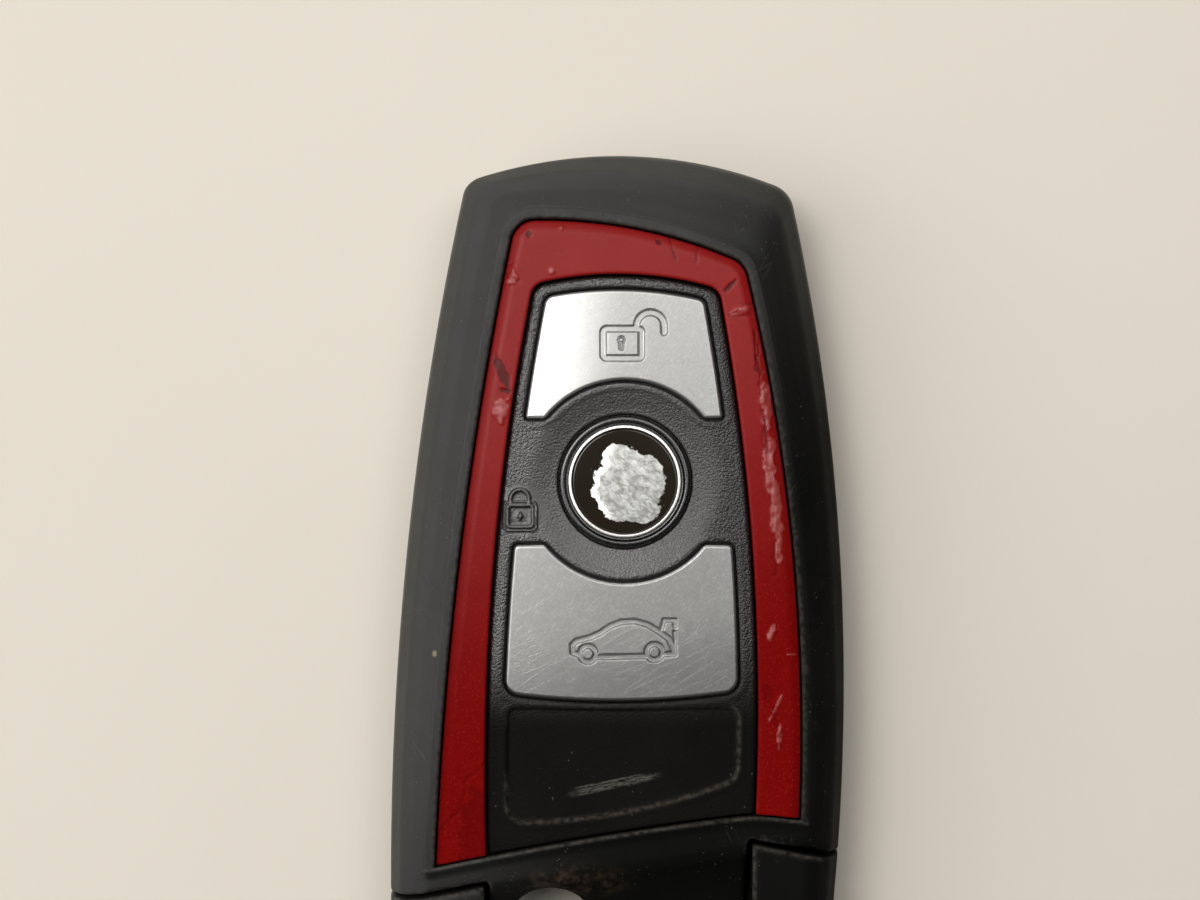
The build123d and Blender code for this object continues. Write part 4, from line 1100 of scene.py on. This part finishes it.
def grained_black():
    """Black moulded plastic with a fine leather-like grain. Its sheen fades towards the bottom and right,
    and its grain with the paler peaks towards the bottom: painted shade.
    """
    look = Look("grained_black", (0.008, 0.0075, 0.0065), 0.4)
    run = look.reach((BADGE[0], BADGE[1], PANEL_TOP))
    open_face = look.range(look.band(run, DISH_RADIUS - 0.5, DISH_RADIUS + 0.3), 0.45, 1.0)
    # Painted shade: this band makes the panel darker towards the bottom, weakening its sheen and its
    # grain's paler peaks there.
    above = look.band(look.along((0.0, 1.0)), -9.5, 0.5)
    beside = look.band(look.reach((-8.4, 9.8, PANEL_TOP)), 2.0, 2.6)
    mark = look.range(beside, 0.3, 1.0)
    coarse = look.times(open_face, look.range(above, 0.45, 1.0))
    pebble = look.math("SUBTRACT", 1.0, look.cells(0.19))
    grain = look.times(pebble, look.times(coarse, mark))
    color = look.blend(look.noise(5.0, 4.0, seed=2.0), (0.004, 0.0038, 0.0033), (0.009, 0.0083, 0.007))
    color = look.blend(look.band(grain, 0.6, 0.95), color, (0.022, 0.02, 0.017))
    # Painted shade: the sheen also fades towards the right.
    side = look.range(look.band(look.along((-1.0, 0.0)), -12.0, 2.0), 0.45, 1.0)
    look.set("Specular IOR Level", look.times(look.range(above, 0.02, 1.0), side))
    color = look.tint(color, dust_specks(look, 0.7), 0.4, (0.2, 0.185, 0.16))
    scuff = look.math("MAXIMUM", *(look.streak(*scuff) for scuff in SCUFFS))
    color = look.tint(color, scuff, 0.35, (0.22, 0.21, 0.19))
    rubbed = look.times(look.layer("edge"), look.patches(0.3, 0.7, 0.5, 4.0, seed=9.0))
    look.set("Base Color", look.tint(color, rubbed, 0.8, (0.055, 0.047, 0.04)))
    look.vary("Roughness", 0.33, 0.46, 1.2, 3.0, 5.0)
    base = look.bump(grain, 0.06, 0.85)
    look.set("Normal", look.bump(look.noise(0.1, 2.0, seed=4.0), 0.02, 0.6, base))
    return look.material


def satin_silver():
    """Satin silver with fine rubbing and a few long scratches, a painted highlight on the left of the
    unlock button and painted shade on the trunk button.
    """
    look = Look("satin_silver", (0.5, 0.5, 0.51), 0.36, Metallic=0.8)
    rub = look.noise((0.12, 0.5, 1.0), 4.0, 0.65, turn=0.9)
    fret = look.patches(0.5, 0.8, (0.07, 0.5, 1.0), 3.0, 0.6, turn=-0.7, seed=4.0)
    mark = look.math(
        "MAXIMUM", scratch_lines(look, (0.9, 6.0, 6.0), -1.05, 0.47, 0.014),
        scratch_lines(look, (0.8, 2.5, 2.5), 0.7, 0.45, 0.014),
    )
    mark = look.math("MAXIMUM", mark, look.streak(*LONG_SCRATCH))
    # Painted highlight: the upper button's left part, towards the light, is made pale.
    upper = look.band(look.along((0.0, 1.0)), 6.0, 18.0)
    left = look.range(look.band(look.along((-1.0, 0.0)), -1.0, 6.5), 0.05, 0.65)
    color = look.blend(rub, (0.24, 0.24, 0.237), (0.38, 0.38, 0.374))
    color = look.blend(fret, color, (0.5, 0.5, 0.49))
    # Painted shade: the silver is darker towards the bottom, over the trunk button.
    lower = look.band(look.along((-0.15, 1.0)), -7.0, 1.0)
    color = look.blend(look.range(lower, 0.48, 0.0), color, (0.12, 0.12, 0.12))
    color = look.blend(look.times(upper, left), color, (0.8, 0.8, 0.79))
    look.set("Base Color", look.tint(color, mark, 0.45, (0.24, 0.24, 0.24)))
    look.vary("Roughness", 0.27, 0.35, 0.9, 3.0, 1.0)
    base = look.bump(rub, 0.004, 0.5)
    look.set("Normal", look.bump(mark, -0.006, 0.4, base))
    return look.material


def chrome(name, color, rough):
    """Polished metal with fine wear."""
    look = Look(name, color, rough, Metallic=1.0)
    look.set("Base Color", look.blend(look.noise(0.6, 4.0), tuple(c * 0.8 for c in color), color))
    look.vary("Roughness", rough * 0.7, rough * 1.8, 0.4, 3.0, 2.0)
    look.set("Normal", look.bump(look.noise(0.2, 2.0), 0.004, 0.4))
    return look.material


def plain(name, color, rough, size=0.4, metallic=0.0, spread=0.25, depth=0.02):
    """Moulded or plated surface with a little variation and grain."""
    look = Look(name, color, rough, Metallic=metallic)
    dark = tuple(c * (1 - spread) for c in color)
    look.set("Base Color", look.blend(look.noise(3.0, 4.0), dark, color))
    look.vary("Roughness", rough * 0.8, min(1, rough * 1.25), 1.0, 3.0, 1.0)
    look.set("Normal", look.bump(look.noise(size, 3.0, seed=2.0), depth, 0.5))
    return look.material


def badge_face():
    """Glossy black lens, worn through to pitted silver in the middle, with a painted highlight along the
    worn patch's left rim.
    """
    look = Look("gloss_black", (0.016, 0.011, 0.007), 0.08)
    gap = look.reach(WORN_SPOT)
    lumps = look.times(look.math("SUBTRACT", look.noise(2.6, 2.0, seed=2.0), 0.5), 3.0)
    notches = look.times(look.math("SUBTRACT", look.noise(0.7, 4.0, 0.7), 0.5), 1.1)
    edge = look.math("ADD", gap, look.math("ADD", lumps, notches))
    worn = look.band(edge, 3.3, 3.22)
    pits = look.patches(0.3, 0.7, (0.5, 0.9, 0.9), 4.0, 0.65, turn=0.8, seed=3.0)
    silver = look.blend(pits, (0.21, 0.21, 0.2), (0.53, 0.54, 0.52))
    # Painted highlight: the worn patch's rim is made near white on its left side.
    rim = look.times(look.band(edge, 2.7, 3.0), worn)
    west = look.band(look.along((1.0, 0.0)), 0.2, -1.6)
    silver = look.blend(look.times(rim, west), silver, (1.0, 1.0, 0.98))
    look.set("Base Color", look.blend(worn, (0.016, 0.011, 0.007), silver))
    look.set("Metallic", look.times(worn, 0.7))
    look.set("Roughness", look.range(worn, 0.1, 0.42))
    base = look.bump(look.times(pits, worn), 0.022)
    look.set("Normal", look.bump(worn, -0.06, below=base))
    return look.material


def table_top():
    """Pale warm table."""
    look = Look("table_top", (0.69, 0.64, 0.56), 0.6)
    look.set("Base Color", look.blend(look.noise(60.0), (0.67, 0.62, 0.54), (0.71, 0.66, 0.58)))
    look.set("Normal", look.bump(look.noise(1.0, 3.0, seed=1.0), 0.02, 0.2))
    return look.material


NODE_LOOKS = {
    "soft_touch_black": ("rear_shell",),
    "moulded_black": (
        "unlock_carrier", "trunk_carrier", "battery_cover", "transponder", "controller_chip", "radio_chip",
    ),
    "grey_silicone": ("keypad_mat", "unlock_pad", "lock_pad", "trunk_pad"),
    "moulded_white": ("unlock_plunger", "lock_plunger", "trunk_plunger"),
    "board_green": ("circuit_board",),
    "steel": (
        "cell_can", "cell_cap", "contact_positive", "contact_negative", "key_clip", "crystal",
        "unlock_switch", "lock_switch", "trunk_switch",
    ),
    "capacitor_tan": ("capacitor",),
    "ferrite": ("antenna_coil",),
    "copper": ("loop_antenna",),
    "seal_rubber": ("cell_gasket", "battery_cover_seal"),
    "nickel_silver": ("key_blade",),
    "bright_chrome": ("key_ring_liner",),
}


# Colour and roughness
CHROMES = {
    "dark_chrome": ((0.09, 0.09, 0.09), 0.22),
    "bright_chrome": ((0.78, 0.77, 0.74), 0.3),
    "badge_silver": ((0.55, 0.56, 0.56), 0.35),
}
# Colour, roughness, size of the grain, metallic, spread of the colour, depth of the grain
PLAIN = {
    "moulded_black": ((0.013, 0.013, 0.012), 0.5),
    "grey_silicone": ((0.16, 0.16, 0.165), 0.7),
    "moulded_white": ((0.75, 0.74, 0.7), 0.45, 0.4, 0.0, 0.1),
    "board_green": ((0.02, 0.12, 0.045), 0.4),
    "steel": ((0.55, 0.55, 0.54), 0.28, 0.3, 1.0, 0.2, 0.006),
    "capacitor_tan": ((0.4, 0.26, 0.12), 0.5),
    "ferrite": ((0.05, 0.05, 0.055), 0.6),
    "copper": ((0.6, 0.26, 0.13), 0.3, 0.3, 1.0, 0.2, 0.006),
    "seal_rubber": ((0.025, 0.025, 0.025), 0.75),
    "nickel_silver": ((0.6, 0.58, 0.53), 0.3, (0.1, 3.0, 1.0), 1.0, 0.15, 0.008),
}


def make_looks():
    """All materials by slot name."""
    looks = {
        "soft_touch_black": soft_touch_black(),
        "red_lacquer": red_lacquer(),
        "grained_black": grained_black(),
        "satin_silver": satin_silver(),
        "gloss_black": badge_face(),
    }
    for name, values in CHROMES.items():
        looks[name] = chrome(name, *values)
    for name, values in PLAIN.items():
        looks[name] = plain(name, *values)
    return looks


def paint(piece, material):
    """Give a piece its material."""
    piece.data.materials.clear()
    piece.data.materials.append(material)


def dress(piece, node, body, slot, looks):
    """Put a piece in a CAD node's place."""
    paint(piece, looks[slot])
    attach(piece, body)
    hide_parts(node)


TABLE_REACH = 1.5


def make_floor():
    """Pale table under the fob."""
    mesh = bpy.data.meshes.new("table")
    edit = bmesh.new()
    bmesh.ops.create_grid(edit, x_segments=8, y_segments=8, size=TABLE_REACH)
    edit.to_mesh(mesh)
    edit.free()
    mesh.materials.append(table_top())
    placed("table", mesh)


# Place and size in metres, power in watts, colour
LAMPS = {
    "window": ((-0.27, 0.2, 0.9), 0.36, 4.2, (1.0, 0.98, 0.955)),
    "side": ((-0.95, -0.15, 1.0), 1.0, 6.0, (1.0, 0.985, 0.96)),
    "back": ((-0.1, 0.75, 0.78), 0.5, 1.5, (1.0, 0.985, 0.96)),
    "fill": ((0.24, 0.25, 0.9), 0.4, 2.1, (1.0, 0.985, 0.96)),
}
LAMP_AIM = (0, 0, 0.01)
# The room's light: the way it comes from, and its strengths
BRIGHT_WAY = (-0.65, 0.76, 0)
BRIGHT_BAND = (-0.2, 0.9)
FADE_BAND = (0.05, 0.4)
DIM, GLOW = 0.06, 5.0
EVERYWHERE = 0.07


def area_lamp(name, place, size, power, color):
    """Soft square lamp that faces the fob."""
    data = bpy.data.lights.new(name, "AREA")
    data.size = size
    data.energy = power
    data.color = color
    lamp = placed(name, data)
    lamp.location = place
    lamp.rotation_euler = (Vector(place) - Vector(LAMP_AIM)).to_track_quat("Z", "Y").to_euler()


def make_light():
    """Soft window light from the upper left, and a room that is bright towards its left."""
    for name, values in LAMPS.items():
        area_lamp(name, *values)
    world = bpy.data.worlds.new("room")
    room = Nodes(world, "Background", (0.97, 0.96, 0.94), "Generated")
    toward = room.node("ShaderNodeVectorMath", {0: room.place, 1: BRIGHT_WAY}, operation="DOT_PRODUCT")
    axes = room.node("ShaderNodeSeparateXYZ", {0: room.place})
    glow = room.spread(toward.outputs["Value"], BRIGHT_BAND, (DIM, GLOW))
    fade = room.spread(axes.outputs["Z"], FADE_BAND, (1.0, 0.0))
    strength = room.node("ShaderNodeMath", {0: glow, 1: fade, 2: EVERYWHERE}, operation="MULTIPLY_ADD")
    room.set("Strength", strength.outputs["Value"])
    bpy.context.scene.world = world


# Camera: straight above the fob, level with the picture's middle
CAMERA_PLACE = (-1.545, 14.835, 234.0)
FOCAL_LENGTH = 76.4
SENSOR_WIDTH = 36.0


def make_camera():
    """Camera that looks straight down."""
    data = bpy.data.cameras.new("camera")
    data.sensor_width = SENSOR_WIDTH
    data.lens = FOCAL_LENGTH
    data.clip_start = 0.01
    camera = placed("camera", data)
    camera.location = tuple(value * MM for value in CAMERA_PLACE)
    bpy.context.scene.camera = camera


def main():
    """Build the scene round the loaded frame."""
    looks = make_looks()
    make_camera()
    make_floor()
    make_light()
    for node, (body, slot, *form) in FORMS.items():
        dress(formed(*form), node, body, slot, looks)
    badge_slots = ("dark_chrome", "bright_chrome", "badge_silver", "gloss_black")
    for (node, piece), slot in zip(make_badge().items(), badge_slots):
        dress(piece, node, "lock_button", slot, looks)
    for slot, nodes in NODE_LOOKS.items():
        for node in nodes:
            paint(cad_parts[node], looks[slot])
    bpy.context.scene.view_settings.view_transform = "Standard"


main()
